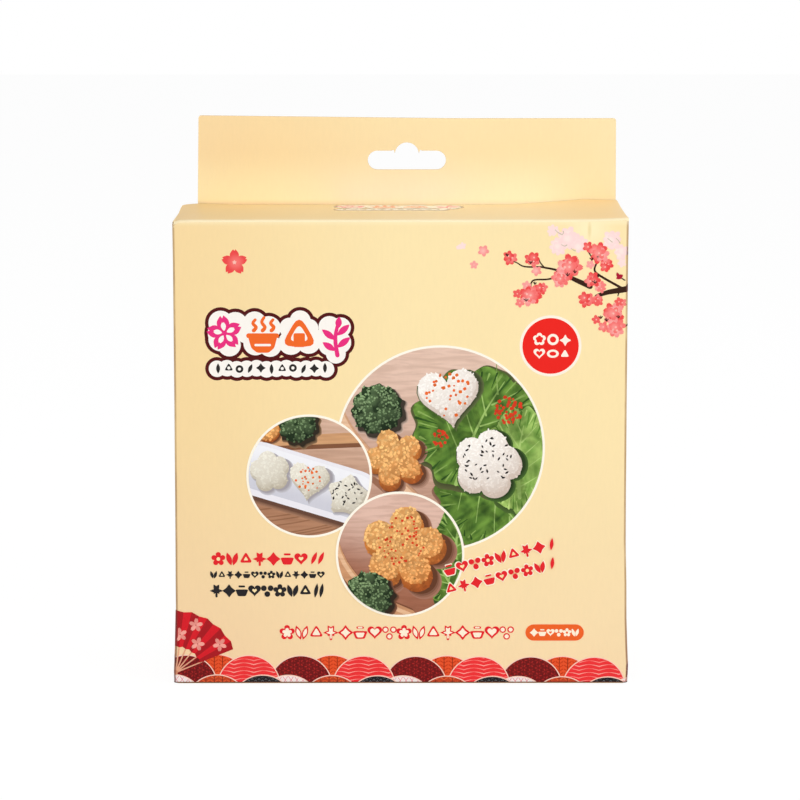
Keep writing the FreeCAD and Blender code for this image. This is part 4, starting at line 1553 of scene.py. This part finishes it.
def drawLabel(sheet, place=label["middle"], scale=1.0, squeeze=(1, 1), kind=plain):
    # place and scale are about the label's own middle
    centre = label["middle"]

    def put(outline, color, step, at, up=0.0, turn=0.0):
        spot = (place[0] + (at[0] - centre[0]) * scale * squeeze[0],
                place[1] + (at[1] + up - centre[1]) * scale * squeeze[1])
        stamp(sheet, moved(outline, spot, scale, turn, squeeze), color, label["level"] + step, kind)

    for step, extra, color in ((0, label["rim"], label["edge"]), (3, 0.0, label["paper"])):
        for number, (x, y, radius) in enumerate(label["clouds"] + label["row"]):
            put(roundShape(radius + extra, 28), color, step + 0.1 * (number % 20), (x, y))
    pink, orange = label["pink"], label["orange"]
    # a blossom, drawn with a brush
    for number in range(5):
        put(moved(petalShape(6.9, 2.9, 0.16), turn=72 * number), pink, 6 + 0.1 * number, label["blossom"], turn=8)
    for number in range(5):
        put(moved(petalShape(3.4, 1.15, 0.1), (0.0, 0.9)), label["paper"], 8, label["blossom"], turn=8 + 72 * number)
    put(roundShape(1.0, 14), pink, 9, label["blossom"])
    # a bowl with steam
    bowl = softened([(-5.7, 0.4), (5.7, 0.4), (4.4, -4.4), (2.2, -6.2), (-2.2, -6.2), (-4.4, -4.4)], 0.22)
    put(bowl, orange, 6, label["bowl"])
    put(pillShape(12.6, 1.9), orange, 6.3, label["bowl"], 0.4)
    for shift, tall in ((-3.4, 0.0), (0.0, 0.9), (3.4, 0.0)):
        path = flowing([(shift, 2.0), (shift + 0.9, 3.3), (shift - 0.3, 4.8 + tall / 2), (shift + 0.6, 6.2 + tall)])
        put(strokeShape(path, 1.5, 1.1), orange, 6.3, label["bowl"], 0.4)
    put(pillShape(6.4, 0.9), label["paper"], 7.4, label["bowl"], -3.2)
    # a rice ball with its wrap
    put(cornered(8.4, 3, 0.34), orange, 6, label["riceBall"])
    put(cornered(4.7, 3, 0.34), label["paper"], 7, label["riceBall"], 0.2)
    put(softened([(-2.2, -5.2), (2.2, -5.2), (2.2, 0.2), (-2.2, 0.2)], 0.15), orange, 8, label["riceBall"], 0.8)
    # a sprig of leaves
    put(strokeShape(flowing([(0.8, 6.2), (-0.4, 0.0), (0.4, -6.6)]), 1.3, 1.7), pink, 6, label["sprig"])
    for x, y, turn, long in ((-2.9, 1.4, 52, 3.3), (2.7, 3.2, -48, 3.2), (-2.8, -3.2, 56, 3.0),
                             (2.8, -1.6, -52, 3.3), (0.9, 6.0, -6, 2.4)):
        put(leafShape(long, 1.25), pink, 6.4, (label["sprig"][0] + x, label["sprig"][1]), y, turn)
    shapes = (leafShape(2.0, 0.75), cornered(2.0, 3, 0.25), roundShape(1.5, 16), leafShape(1.9, 0.7),
              cornered(1.9, 4, 0.2, dip=0.45))
    for number in range(11):
        x, y = -70.0 + 4.1 * number, 124.9 + 0.25 * math.sin(2.1 * number)
        put(shapes[number % 5], label["grain"], 7, (x, y), turn=-24 if number % 5 == 3 else 0)
        if number % 5 in (1, 2):
            put(roundShape(0.62, 10), label["paper"], 8, (x, y))


badge = {"place": (57.5, 133.6), "radius": 10.8, "rim": 1.05, "red": ink(235, 33, 25), "paper": ink(253, 240, 224)}


def drawBadge(sheet):
    place = badge["place"]
    stamp(sheet, moved(roundShape(badge["radius"] + badge["rim"], 64), place), badge["paper"], 2)
    stamp(sheet, moved(roundShape(badge["radius"], 64), place), badge["red"], 3)
    # six small cutters in white
    paper = badge["paper"]
    for outline, hollow, x, y in (
        (blossomShape(2.5, 0.3), blossomShape(1.45, 0.3), -4.3, 2.6),
        (roundShape(2.2, 24), roundShape(1.2, 20), 0.9, 2.5),
        (cornered(2.3, 4, 0.2, dip=0.5), None, 5.6, 2.2),
        (heartShape(2.3), heartShape(1.25), -4.3, -3.0),
        (roundShape(2.3, 24, 0.7), roundShape(1.3, 20, 0.62), 0.9, -3.0),
        (cornered(2.0, 3, 0.25), None, 5.5, -3.2),
    ):
        stamp(sheet, moved(outline, (place[0] + x, place[1] + y)), paper, 4)
        if hollow:
            stamp(sheet, moved(hollow, (place[0] + x, place[1] + y)), badge["red"], 5)


rows = {
    "red": ink(226, 34, 42),
    "black": ink(34, 32, 34),
    "paper": ink(253, 240, 216),
    "orange": ink(236, 98, 38),
    "pill": (60.0, 20.4, 22.7, 6.5),
    "hollow": 0.62,
}


def rowMotif(number, size):
    # small solid motifs of a kitchen print, by turns
    def leafAt(long, wide, x=0.0, y=0.0, turn=0.0):
        return moved(leafShape(long * size, wide * size), (x * size, y * size), turn=turn)

    def berryAt(x, y):
        return moved(roundShape(0.22 * size, 14), (x * size, y * size))

    kinds = (
        [blossomShape(0.52 * size, 0.42, 30)],
        [leafAt(0.5, 0.19, -0.22, turn=18), leafAt(0.5, 0.19, 0.22, turn=-18)],
        [cornered(0.54 * size, 3, 0.22)],
        [leafAt(0.5, 0.15, turn=90), leafAt(0.42, 0.17, 0, 0.12, 30), leafAt(0.42, 0.17, 0, 0.12, -30),
         moved(pillShape(0.6 * size, 0.16 * size), (0, -0.22 * size), turn=90)],
        [cornered(0.52 * size, 4, 0.15, dip=0.4)],
        [moved(softened([(-0.5, 0.1), (0.5, 0.1), (0.3, -0.42), (-0.3, -0.42)], 0.2), scale=size),
         moved(pillShape(0.5 * size, 0.14 * size), (0, 0.34 * size))],
        [heartShape(0.5 * size)],
        [berryAt(-0.26, 0.2), berryAt(0.26, 0.2), berryAt(0, -0.26)],
    )
    return kinds[number % len(kinds)]


def rowHole(number, size):
    # what is left open inside a solid motif
    return {0: roundShape(0.14 * size, 10), 2: cornered(0.2 * size, 3, 0.2), 6: heartShape(0.18 * size)}.get(number % 8)


def drawRow(sheet, start, end, count, size, color, level=22, offset=0,
            halo=0.0, hollow=None, hole=boardInks["topRight"]):
    # a row of motifs, with a pale halo, a pale inside or small holes where asked
    turn = math.degrees(math.atan2(end[1] - start[1], end[0] - start[0]))
    for number in range(count):
        place = between(start, end, (number + 0.5) / count)
        outlines = rowMotif(number + offset, size)
        if halo:
            for outline in outlines:
                grown = [(x * (1 + halo / size * 2), y * (1 + halo / size * 2)) for x, y in outline]
                stamp(sheet, moved(grown, place, turn=turn), rows["paper"], level)
        for outline in outlines:
            stamp(sheet, moved(outline, place, turn=turn), color, level + 1)
            if hollow:
                middle = centreOf(outline)
                small = [between(middle, point, rows["hollow"]) for point in outline]
                stamp(sheet, moved(small, place, turn=turn), hollow, level + 2)
        gap = rowHole(number + offset, size)
        if gap and not hollow:
            stamp(sheet, moved(gap, place, turn=turn), hole, level + 2)


def endLeaves(sheet, places, long, wide, turn, color, level=22):
    # slim leaves that end a row
    for place in places:
        stamp(sheet, moved(leafShape(long, wide), place, turn=turn), color, level)


def makeRows():
    sheet = newSheet("printRows")
    red, black = rows["red"], rows["black"]
    drawRow(sheet, (-73.5, 49.9), (-36.0, 49.9), 7, 5.35, red)
    endLeaves(sheet, [(-33.6, 50.2), (-30.9, 50.2)], 2.7, 0.8, -24, red)
    drawRow(sheet, (-74.4, 43.6), (-29.4, 43.6), 14, 3.1, black, offset=1)
    drawRow(sheet, (-74.3, 37.2), (-34.6, 37.2), 8, 5.1, black, offset=3)
    endLeaves(sheet, [(-32.9, 37.3), (-30.8, 37.3)], 2.9, 0.75, -10, black)
    drawRow(sheet, (16.6, 45.0), (56.2, 55.2), 8, 5.0, red, 118, 5, 0.45)
    drawRow(sheet, (17.2, 37.6), (56.6, 47.2), 8, 4.8, red, 118, 2, 0.45)
    endLeaves(sheet, [(58.6, 55.8), (58.9, 48.2)], 2.4, 0.7, -6, red, 119)
    drawRow(sheet, (-47.2, 20.4), (44.2, 20.4), 16, 5.9, red, hollow=rows["paper"])
    x, y, wide, tall = rows["pill"]
    stamp(sheet, moved(pillShape(wide, tall, 12), (x, y)), rows["orange"], 22)
    drawRow(sheet, (x - 9.6, y), (x + 9.6, y), 6, 3.3, rows["paper"], 24, 4, hole=rows["orange"])
    drawLabel(sheet)
    drawBadge(sheet)
    # one plain blossom at the upper left
    drawBlossom(sheet, (-63.3, 165.9), 5.0, "deep", 2, 0)
    printSheet(sheet)


# the three round pictures

pictures = {
    "rim": ink(254, 248, 232),
    "rimWide": 0.9,
    "rice": (ink(255, 250, 243), ink(205, 186, 172)),
    "dimRice": (ink(240, 236, 222), ink(186, 176, 156)),
    "golden": (ink(230, 154, 78), ink(170, 88, 38)),
    "goldenTop": (ink(247, 192, 122), ink(216, 134, 64)),
    "leaf": (ink(112, 150, 62), ink(44, 80, 24)),
    "paleLeaf": (ink(160, 190, 104), ink(88, 130, 50)),
    "vein": ink(158, 186, 112),
    "broccoli": (ink(128, 154, 108), ink(34, 54, 28)),
    "broccoliBase": (ink(58, 84, 48), ink(22, 38, 18)),
    "bud": ink(30, 48, 24),
    "goldenShadow": ink(92, 52, 30),
    "leafShadow": ink(20, 30, 12),
    "broccoliShadow": ink(30, 26, 16),
    "sesame": ink(30, 22, 22),
    "sprinkle": ink(240, 112, 44),
    "pepper": ink(222, 62, 30),
}


def openPicture(name, picture, level):
    # rim and wooden ground of a round picture
    sheet = newSheet(name)
    place, radius = picture["place"], picture["radius"]
    low, high, lean = picture["groundRange"]

    def ground(u, v, share):
        return blendInk(*picture["ground"], smooth(low, high, v + lean * u))

    stamp(sheet, moved(roundShape(radius, 96), place), pictures["rim"], level)
    patch(sheet, moved(roundShape(radius - pictures["rimWide"], 96), place), place, ground, level + 1, wood,
          (1.0, 0.9, 0.8, 0.7, 0.6, 0.5, 0.4, 0.3, 0.2, 0.1))
    return sheet


def trayEdge(sheet, picture, level):
    # the edge of a wooden tray, in three tones
    for step, (wide, shift, color) in enumerate(picture["trayBands"]):
        path = flowing([(x + shift, y) for x, y in picture["trayPath"]])
        flatShape(sheet, picture, strokeShape(path, wide, wide), color, level + step, wood)


def shape(sheet, picture, outline, place, shade, level, kind, rings=(1.0, 0.93, 0.82, 0.68, 0.5, 0.3, 0.15)):
    centre, inner = picture["place"], picture["radius"] - pictures["rimWide"]
    kept = within(moved(outline, place), centre, inner)
    if len(kept) > 2:
        middle = centreOf(kept) if math.dist(place, centre) > inner - 1.5 else place
        patch(sheet, kept, middle, shade, level, kind, rings)


def flatShape(sheet, picture, outline, color, level, kind=0):
    kept = within(outline, picture["place"], picture["radius"] - pictures["rimWide"])
    if len(kept) > 2 and abs(area(kept)) > 0.01:
        stamp(sheet, kept, color, level, kind)


def softShadow(sheet, picture, outline, place, color, ground, level, shift=(0.9, -1.2), grow=1.05):
    # a shadow that fades outward in four steps
    for step in range(4):
        spread = 3 - step
        away = 1 + 0.16 * spread
        middle = (place[0] + shift[0] * away, place[1] + shift[1] * away)
        fading = blendInk(color, ground, 0.04 + 0.25 * spread)
        flatShape(sheet, picture, moved(outline, middle, grow + 0.02 * spread), fading, level + step)


def dome(place, radius, inks, lean=(-0.35, 0.6), rim=0.6):
    # lit from the upper left, and darker towards the lower rim
    def shade(u, v, share):
        lit = ((u - place[0]) * lean[0] + (v - place[1]) * lean[1]) / radius
        amount = 0.2 - 0.5 * lit + rim * max(share - 0.6, 0) * (1.0 if lit < 0 else 0.5)
        return blendInk(*inks, min(max(amount, 0.0), 1.0))

    return shade


def inside(point, outline):
    x, y = point
    crossings = 0
    for (ax, ay), (bx, by) in zip(outline, outline[1:] + outline[:1]):
        if (ay > y) != (by > y) and x < ax + (y - ay) / (by - ay) * (bx - ax):
            crossings += 1
    return crossings % 2 == 1


def speckle(sheet, picture, outline, place, inkAt, level, count, long, wide, kind, jitter):
    # many small flecks that lie within an outline, in the colour of the place
    grown = moved(outline, place)
    (low, high), (under, over) = span(grown, 0), span(grown, 1)
    reach = max(math.dist(point, place) for point in grown)
    made = 0
    for attempt in range(count * 4):
        spot = (draw.uniform(low, high), draw.uniform(under, over))
        if made >= count or not inside(spot, grown):
            continue
        made += 1
        share = math.dist(spot, place) / reach
        color = inkAt(spot[0], spot[1], share)
        bright = 1 + draw.uniform(-jitter, jitter)
        color = tuple(min(value * bright, 1.0) for value in color[:3]) + (1.0,)
        turn = draw.uniform(0, 180)
        fleck = moved(roundShape(long, 6, wide / long), spot, draw.uniform(0.75, 1.2), turn)
        flatShape(sheet, picture, fleck, color, level + 4.0 * made / count, kind)


def scatter(sheet, picture, place, radius, count, color, level, long, wide, angular=False):
    # loose seeds, or angular crumbs, within a circle
    for number in range(count):
        angle, reach = draw.uniform(0, 2 * math.pi), radius * math.sqrt(draw.random())
        spot = (place[0] + reach * math.cos(angle), place[1] + reach * math.sin(angle))
        fleck = moved(leafShape(long, wide, 3), spot, draw.uniform(0.75, 1.2), draw.uniform(0, 180))
        if angular:
            fleck = moved(softened([(-1, -0.8), (0.9, -1), (1.1, 0.7), (-0.7, 1)], 0.3, 2), spot,
                          draw.uniform(0.6, 1.2) * long, draw.uniform(0, 90))
        shown = tuple(value * draw.uniform(0.75, 1.0) for value in color[:3]) + (1.0,)
        flatShape(sheet, picture, fleck, shown, level + 2.0 * number / count)


def riceFigure(sheet, picture, outline, place, radius, level, inks, shadow, ground, count):
    # a pressed figure: a shaded side below, a pale face and the grains on both
    softShadow(sheet, picture, outline, place, shadow, ground, level - 4)
    side = dome(place, radius, (blendInk(inks[0], inks[1], 0.5), inks[1]))
    lower = [(x + 0.03 * radius, y - 0.13 * radius) for x, y in outline]
    shape(sheet, picture, lower, place, side, level, rice)
    speckle(sheet, picture, lower, place, side, level + 1, count // 2, 0.55, 0.28, plain, 0.07)
    face = dome(place, radius, inks)
    shape(sheet, picture, moved(outline, scale=0.96), place, face, level + 5, rice)
    speckle(sheet, picture, moved(outline, scale=0.975), place, face, level + 6, count, 0.62, 0.3, plain, 0.05)


def goldenFigure(sheet, picture, outline, place, radius, level, ground, count):
    # a fried figure: a darker side below, a lighter face and its crumbs
    shift = (0.12 * radius, -0.16 * radius)
    softShadow(sheet, picture, outline, place, pictures["goldenShadow"], ground, level - 4, shift)
    side = dome(place, radius, pictures["golden"], rim=0.9)
    lower = [(x + 0.04 * radius, y - 0.16 * radius) for x, y in outline]
    shape(sheet, picture, lower, place, side, level, crumb)
    speckle(sheet, picture, lower, place, side, level + 1, count // 2, 0.6, 0.45, crumb, 0.3)
    face = dome(place, radius, pictures["goldenTop"], rim=0.5)
    shape(sheet, picture, moved(outline, scale=0.96), place, face, level + 6, crumb)
    speckle(sheet, picture, moved(outline, scale=0.97), place, face, level + 7, count, 0.62, 0.45, plain, 0.3)


def lettuceLeaf(sheet, picture, place, radius, level, inks, phase, squeeze, ground, lie):
    # a ruffled leaf with a broad pale rib and its branches
    inks = pictures[inks]
    outline = wavy(radius, 9, 0.05, 140, phase, squeeze)
    shadow = blendInk(ground, pictures["leafShadow"], 0.5)
    softShadow(sheet, picture, outline, place, shadow, ground, level - 4, (0.4, -0.7), 1.0)

    def shade(u, v, share):
        x, y = u - place[0], v - place[1]
        ripple = 0.5 + 0.5 * math.sin(0.85 * x + 2.2 * math.sin(0.45 * y + phase))
        crinkle = 0.5 + 0.5 * math.sin(1.9 * y - 1.3 * x + phase)
        return blendInk(*inks, min(max(0.15 + 0.5 * ripple + 0.25 * crinkle - 3.0 * max(share - 0.9, 0), 0), 1))

    shape(sheet, picture, outline, place, shade, level, leaf,
          (1.0, 0.96, 0.9, 0.83, 0.75, 0.66, 0.57, 0.48, 0.39, 0.3, 0.2, 0.1))
    vein = blendInk(pictures["vein"], inks[0], 0.35)
    rib = [(-0.92 * radius, -0.1 * radius), (-0.3 * radius, 0), (0.3 * radius, 0.04 * radius), (0.85 * radius, 0)]
    path = flowing(moved(rib, place, 1, lie))
    flatShape(sheet, picture, strokeShape(path, 1.5, 0.3), vein, level + 1, leaf)
    for number in range(8):
        start = -0.7 + 0.19 * number
        side = 1 if number % 2 else -1
        reach = 0.62 - 0.05 * number
        side *= reach * radius
        path = [(start * radius, 0), ((start + 0.18) * radius, side * 0.42), ((start + 0.46) * radius, side)]
        path = flowing(moved(path, place, 1, lie))
        flatShape(sheet, picture, strokeShape(path, 0.7, 0.18), vein, level + 1, leaf)
    # crinkles that run in from the ruffled rim
    for number in range(54):
        angle = 2 * math.pi * number / 54 + draw.uniform(-0.05, 0.05)
        far, near, bend = draw.uniform(0.9, 1.0), draw.uniform(0.62, 0.84), draw.uniform(-0.1, 0.1)
        path = [(place[0] + radius * reach * math.cos(angle + bend * share) * squeeze[0],
                 place[1] + radius * reach * math.sin(angle + bend * share) * squeeze[1])
                for share, reach in ((0, far), (0.4, (far + near) / 2), (1, near))]
        tone = blendInk(inks[1], (0, 0, 0, 1), 0.1) if number % 2 else blendInk(inks[0], (1, 1, 0.6, 1), 0.07)
        flatShape(sheet, picture, strokeShape(path, draw.uniform(0.5, 1.1), 0.25, 1), tone, level + 2, leaf)


def broccoliHead(sheet, picture, place, radius, level, ground, count):
    # a dark knobbly head, with a hundred small buds
    outline = wavy(radius, 11, 0.05, 80, place[0])
    softShadow(sheet, picture, outline, place, pictures["broccoliShadow"], ground, level - 4)
    body = dome(place, radius, pictures["broccoli"], rim=0.8)
    shape(sheet, picture, outline, place, dome(place, radius, pictures["broccoliBase"]), level, broccoli)
    for number in range(12):
        angle = 2 * math.pi * number / 12 + draw.uniform(-0.2, 0.2)
        reach = radius * (0.72 if number % 2 else 0.38)
        spot = (place[0] + reach * math.cos(angle), place[1] + reach * math.sin(angle))
        small = radius * draw.uniform(0.22, 0.3)
        knob = dome(spot, small, (body(*spot, 0.4), pictures["bud"]))
        shape(sheet, picture, wavy(small, 6, 0.07, 24, angle), spot, knob, level + 1 + 0.05 * number, broccoli,
              (1.0, 0.6))
    speckle(sheet, picture, moved(outline, scale=1.02), place, body, level + 3, count, 0.42, 0.36, plain, 0.35)


bigPicture = {
    "place": (15.3, 93.5),
    "radius": 40.4,
    "ground": (ink(196, 156, 136), ink(226, 194, 176)),
    "groundRange": (72, 128, 0.3),
    "trayPath": [(-28, 116), (-22, 102), (-11, 88), (4, 74), (16, 60)],
    "trayBands": [(9.0, -1.6, ink(150, 104, 80)), (6.4, 0.0, ink(206, 158, 124)), (2.4, 1.4, ink(232, 192, 158))],
    # (place, radius, level, inks, phase, squeeze, ink under it, lie)
    "leaves": [((36, 74), 22, 10, "leaf", 0.4, (1.0, 0.9), ink(150, 110, 90), -50),
               ((30, 101), 25, 17, "leaf", 1.9, (1.0, 0.95), ink(92, 96, 56), 62),
               ((46, 89), 16, 24, "paleLeaf", 3.1, (0.8, 1.3), ink(76, 104, 46), 84)],
    "underBroccoli": ink(226, 194, 176),
    "underGolden": ink(188, 146, 124),
    # the shadow's ink and the ink under it
    "underHeart": (ink(60, 66, 40), ink(96, 110, 62)),
    "underBlossom": (ink(34, 52, 20), ink(70, 104, 44)),
    # (place, reach, count, ink, level, length, width, angular)
    "bits": [((18.4, 114.8), 8.8, 36, "sprinkle", 35, 0.6, 0.5, True), ((33.4, 88.8), 9.6, 44, "sesame", 44, 0.8, 0.36),
             ((41.5, 108.5), 5.4, 46, "pepper", 27, 0.66, 0.5, True),
             ((15.0, 97.4), 3.4, 22, "pepper", 20, 0.6, 0.5, True)],
}


def makeBigPicture():
    picture = bigPicture
    sheet = openPicture("printBigPicture", picture, 1)
    trayEdge(sheet, picture, 3)
    for settings in picture["leaves"]:
        lettuceLeaf(sheet, picture, *settings)
    broccoliHead(sheet, picture, (-9.0, 109.0), 9.6, 10, picture["underBroccoli"], 260)
    flower = moved(blossomShape(11.8, 0.42), turn=20)
    goldenFigure(sheet, picture, flower, (-2.5, 90.0), 11.8, 21, picture["underGolden"], 300)
    heart = moved(heartShape(12.2), turn=8)
    riceFigure(sheet, picture, heart, (18.5, 114.0), 12.2, 24, pictures["rice"], *picture["underHeart"], 300)
    blossom = moved(blossomShape(13.2, 0.24, 70), turn=-14)
    riceFigure(sheet, picture, blossom, (33.4, 88.4), 13.2, 33, pictures["rice"], *picture["underBlossom"], 420)
    for place, reach, count, word, *look in picture["bits"]:
        scatter(sheet, picture, place, reach, count, pictures[word], *look)
    printSheet(sheet)


leftPicture = {
    "place": (-35.3, 82.7),
    "radius": 24.3,
    "ground": (ink(176, 128, 98), ink(214, 178, 156)),
    "groundRange": (60, 98, 0.3),
    "grain": (58.8, 61.0, 64.5, 68.2, 71.6, 60.0, 66.6),
    "grainInk": ink(150, 106, 78),
    "boards": [([(-62, 94.8), (-10, 96.6), (-10, 94.4), (-62, 92.2)], ink(126, 82, 56)),
               ([(-62, 98.0), (-10, 100.2), (-10, 96.0), (-62, 94.2)], ink(208, 158, 114))],
    "underBroccoli": ink(150, 116, 84),
    "underGolden": ink(160, 116, 84),
    "trayTurn": -17,
    "trayShadow": (ink(96, 64, 50), ink(170, 126, 98)),
    "trayInk": ink(236, 234, 240),
    "trayInside": (ink(206, 206, 216), ink(242, 242, 246)),
    "underRice": (ink(160, 154, 160), ink(206, 206, 214)),
    # (outline, place, radius, then the ink, length and shape of the bits on it)
    "figures": [
        (moved(blossomShape(7.8, 0.24), turn=10), (-50.6, 85.2), 7.8, None),
        (moved(heartShape(8.0), turn=-8), (-35.6, 81.0), 8.0, ("sprinkle", 0.46, True)),
        (cornered(8.8, 5, 0.3, 0.2, 0.32), (-20.6, 75.6), 8.8, ("sesame", 0.7, False)),
    ],
}


def makeLeftPicture():
    picture = leftPicture
    sheet = openPicture("printLeftPicture", picture, 38)
    for height in picture["grain"]:
        path = flowing([(-62, height - 3), (-40, height), (-18, height + 5), (-8, height + 9)])
        flatShape(sheet, picture, strokeShape(path, 0.6, 0.3), picture["grainInk"], 40, wood)
    # the board at the back, with greens on it
    for number, (outline, color) in enumerate(picture["boards"]):
        flatShape(sheet, picture, outline, color, 41 + number, wood)
    broccoliHead(sheet, picture, (-40.0, 103.6), 7.4, 47, picture["underBroccoli"], 120)
    goldenFigure(sheet, picture, roundShape(4.4, 24), (-51.0, 101.2), 4.4, 47, picture["underGolden"], 40)
    # a white oblong tray that falls to the right
    turn = picture["trayTurn"]
    tray = pillShape(60, 21.5, 14)
    softShadow(sheet, picture, moved(tray, turn=turn), (-36.4, 80.0), *picture["trayShadow"], 43, (0.3, -1.6), 1.0)
    flatShape(sheet, picture, moved(tray, (-36.4, 80.0), 1.0, turn), picture["trayInk"], 47)
    middle = (-36.4, 80.5)
    inner = moved(pillShape(56, 17.6, 14), middle, 1.0, turn)

    def trayShade(u, v, share):
        return blendInk(*picture["trayInside"], smooth(-8, 7, (v - middle[1]) + 0.3 * (u - middle[0])))

    patch(sheet, within(inner, picture["place"], picture["radius"] - pictures["rimWide"]), middle, trayShade, 48)
    for outline, place, size, bits in picture["figures"]:
        riceFigure(sheet, picture, outline, place, size, 53, pictures["dimRice"], *picture["underRice"], 150)
        if bits:
            word, long, angular = bits
            spot = (place[0], place[1] + 0.6)
            scatter(sheet, picture, spot, size * 0.66, 28, pictures[word], 64, long, 0.3, angular)
    printSheet(sheet)


lowPicture = {
    "place": (-0.2, 51.7),
    "radius": 25.0,
    "ground": (ink(160, 104, 80), ink(222, 186, 170)),
    "groundRange": (36, 64, 0.35),
    "trayPath": [(-28, 62), (-23, 48), (-12, 35), (4, 27)],
    "trayBands": [(7.0, -1.0, ink(128, 80, 58)), (5.0, 0.0, ink(206, 152, 112)), (1.6, 1.2, ink(232, 188, 150))],
    # (place, radius, level, inks, phase, squeeze, ink under it, lie)
    "leaves": [((22, 58), 10, 76, "leaf", 0.8, (0.8, 1.3), ink(160, 110, 84), 80),
               ((19, 41), 9.0, 83, "leaf", 2.2, (1, 1), ink(70, 96, 44), 120)],
    "underGolden": ink(176, 126, 104),
    "underBroccoli": ink(140, 90, 66),
}


def makeLowPicture():
    picture = lowPicture
    sheet = openPicture("printLowPicture", picture, 67)
    trayEdge(sheet, picture, 69)
    for settings in picture["leaves"]:
        lettuceLeaf(sheet, picture, *settings)
    flower = moved(blossomShape(16.6, 0.40, 90), turn=-8)
    goldenFigure(sheet, picture, flower, (0.8, 54.8), 16.6, 90, picture["underGolden"], 620)
    scatter(sheet, picture, (0.8, 57.6), 10.4, 54, pictures["pepper"], 102, 0.5, 0.4, True)
    broccoliHead(sheet, picture, (-12.6, 35.4), 9.2, 109, picture["underBroccoli"], 280)
    printSheet(sheet)


# sides and lid

otherPrints = {"side": 118.0, "sideScale": 0.66, "lid": (-0.7, 14.6), "lidScale": 0.9, "lidSqueeze": (1, 0.96)}


def makeOtherPrints():
    sides = newSheet("printSides")
    for middle in (otherPrints["side"], -otherPrints["side"]):
        drawLabel(sides, (middle, 128.0), otherPrints["sideScale"])
    for middle in (otherPrints["side"], -otherPrints["side"]):
        drawRow(sides, (middle - 20, 46), (middle + 20, 46), 7, 4.6, rows["red"], 4)
        drawRow(sides, (middle - 20, 38), (middle + 20, 38), 12, 2.6, rows["black"], 4, 1)
    printSheet(sides)
    lidSheet = newSheet("printLid", onLid)
    drawLabel(lidSheet, otherPrints["lid"], otherPrints["lidScale"], otherPrints["lidSqueeze"], varnished)
    printSheet(lidSheet, "lid_panel")


makeWaves()
makeBranch("printBranch", 0.0)
makeBranch("printBackBranch", branch["backShift"])
makeFan()
makeRows()
makeBigPicture()
makeLeftPicture()
makeLowPicture()
makeOtherPrints()
print("stage: waves, blossoms, fan, label and pictures are printed")
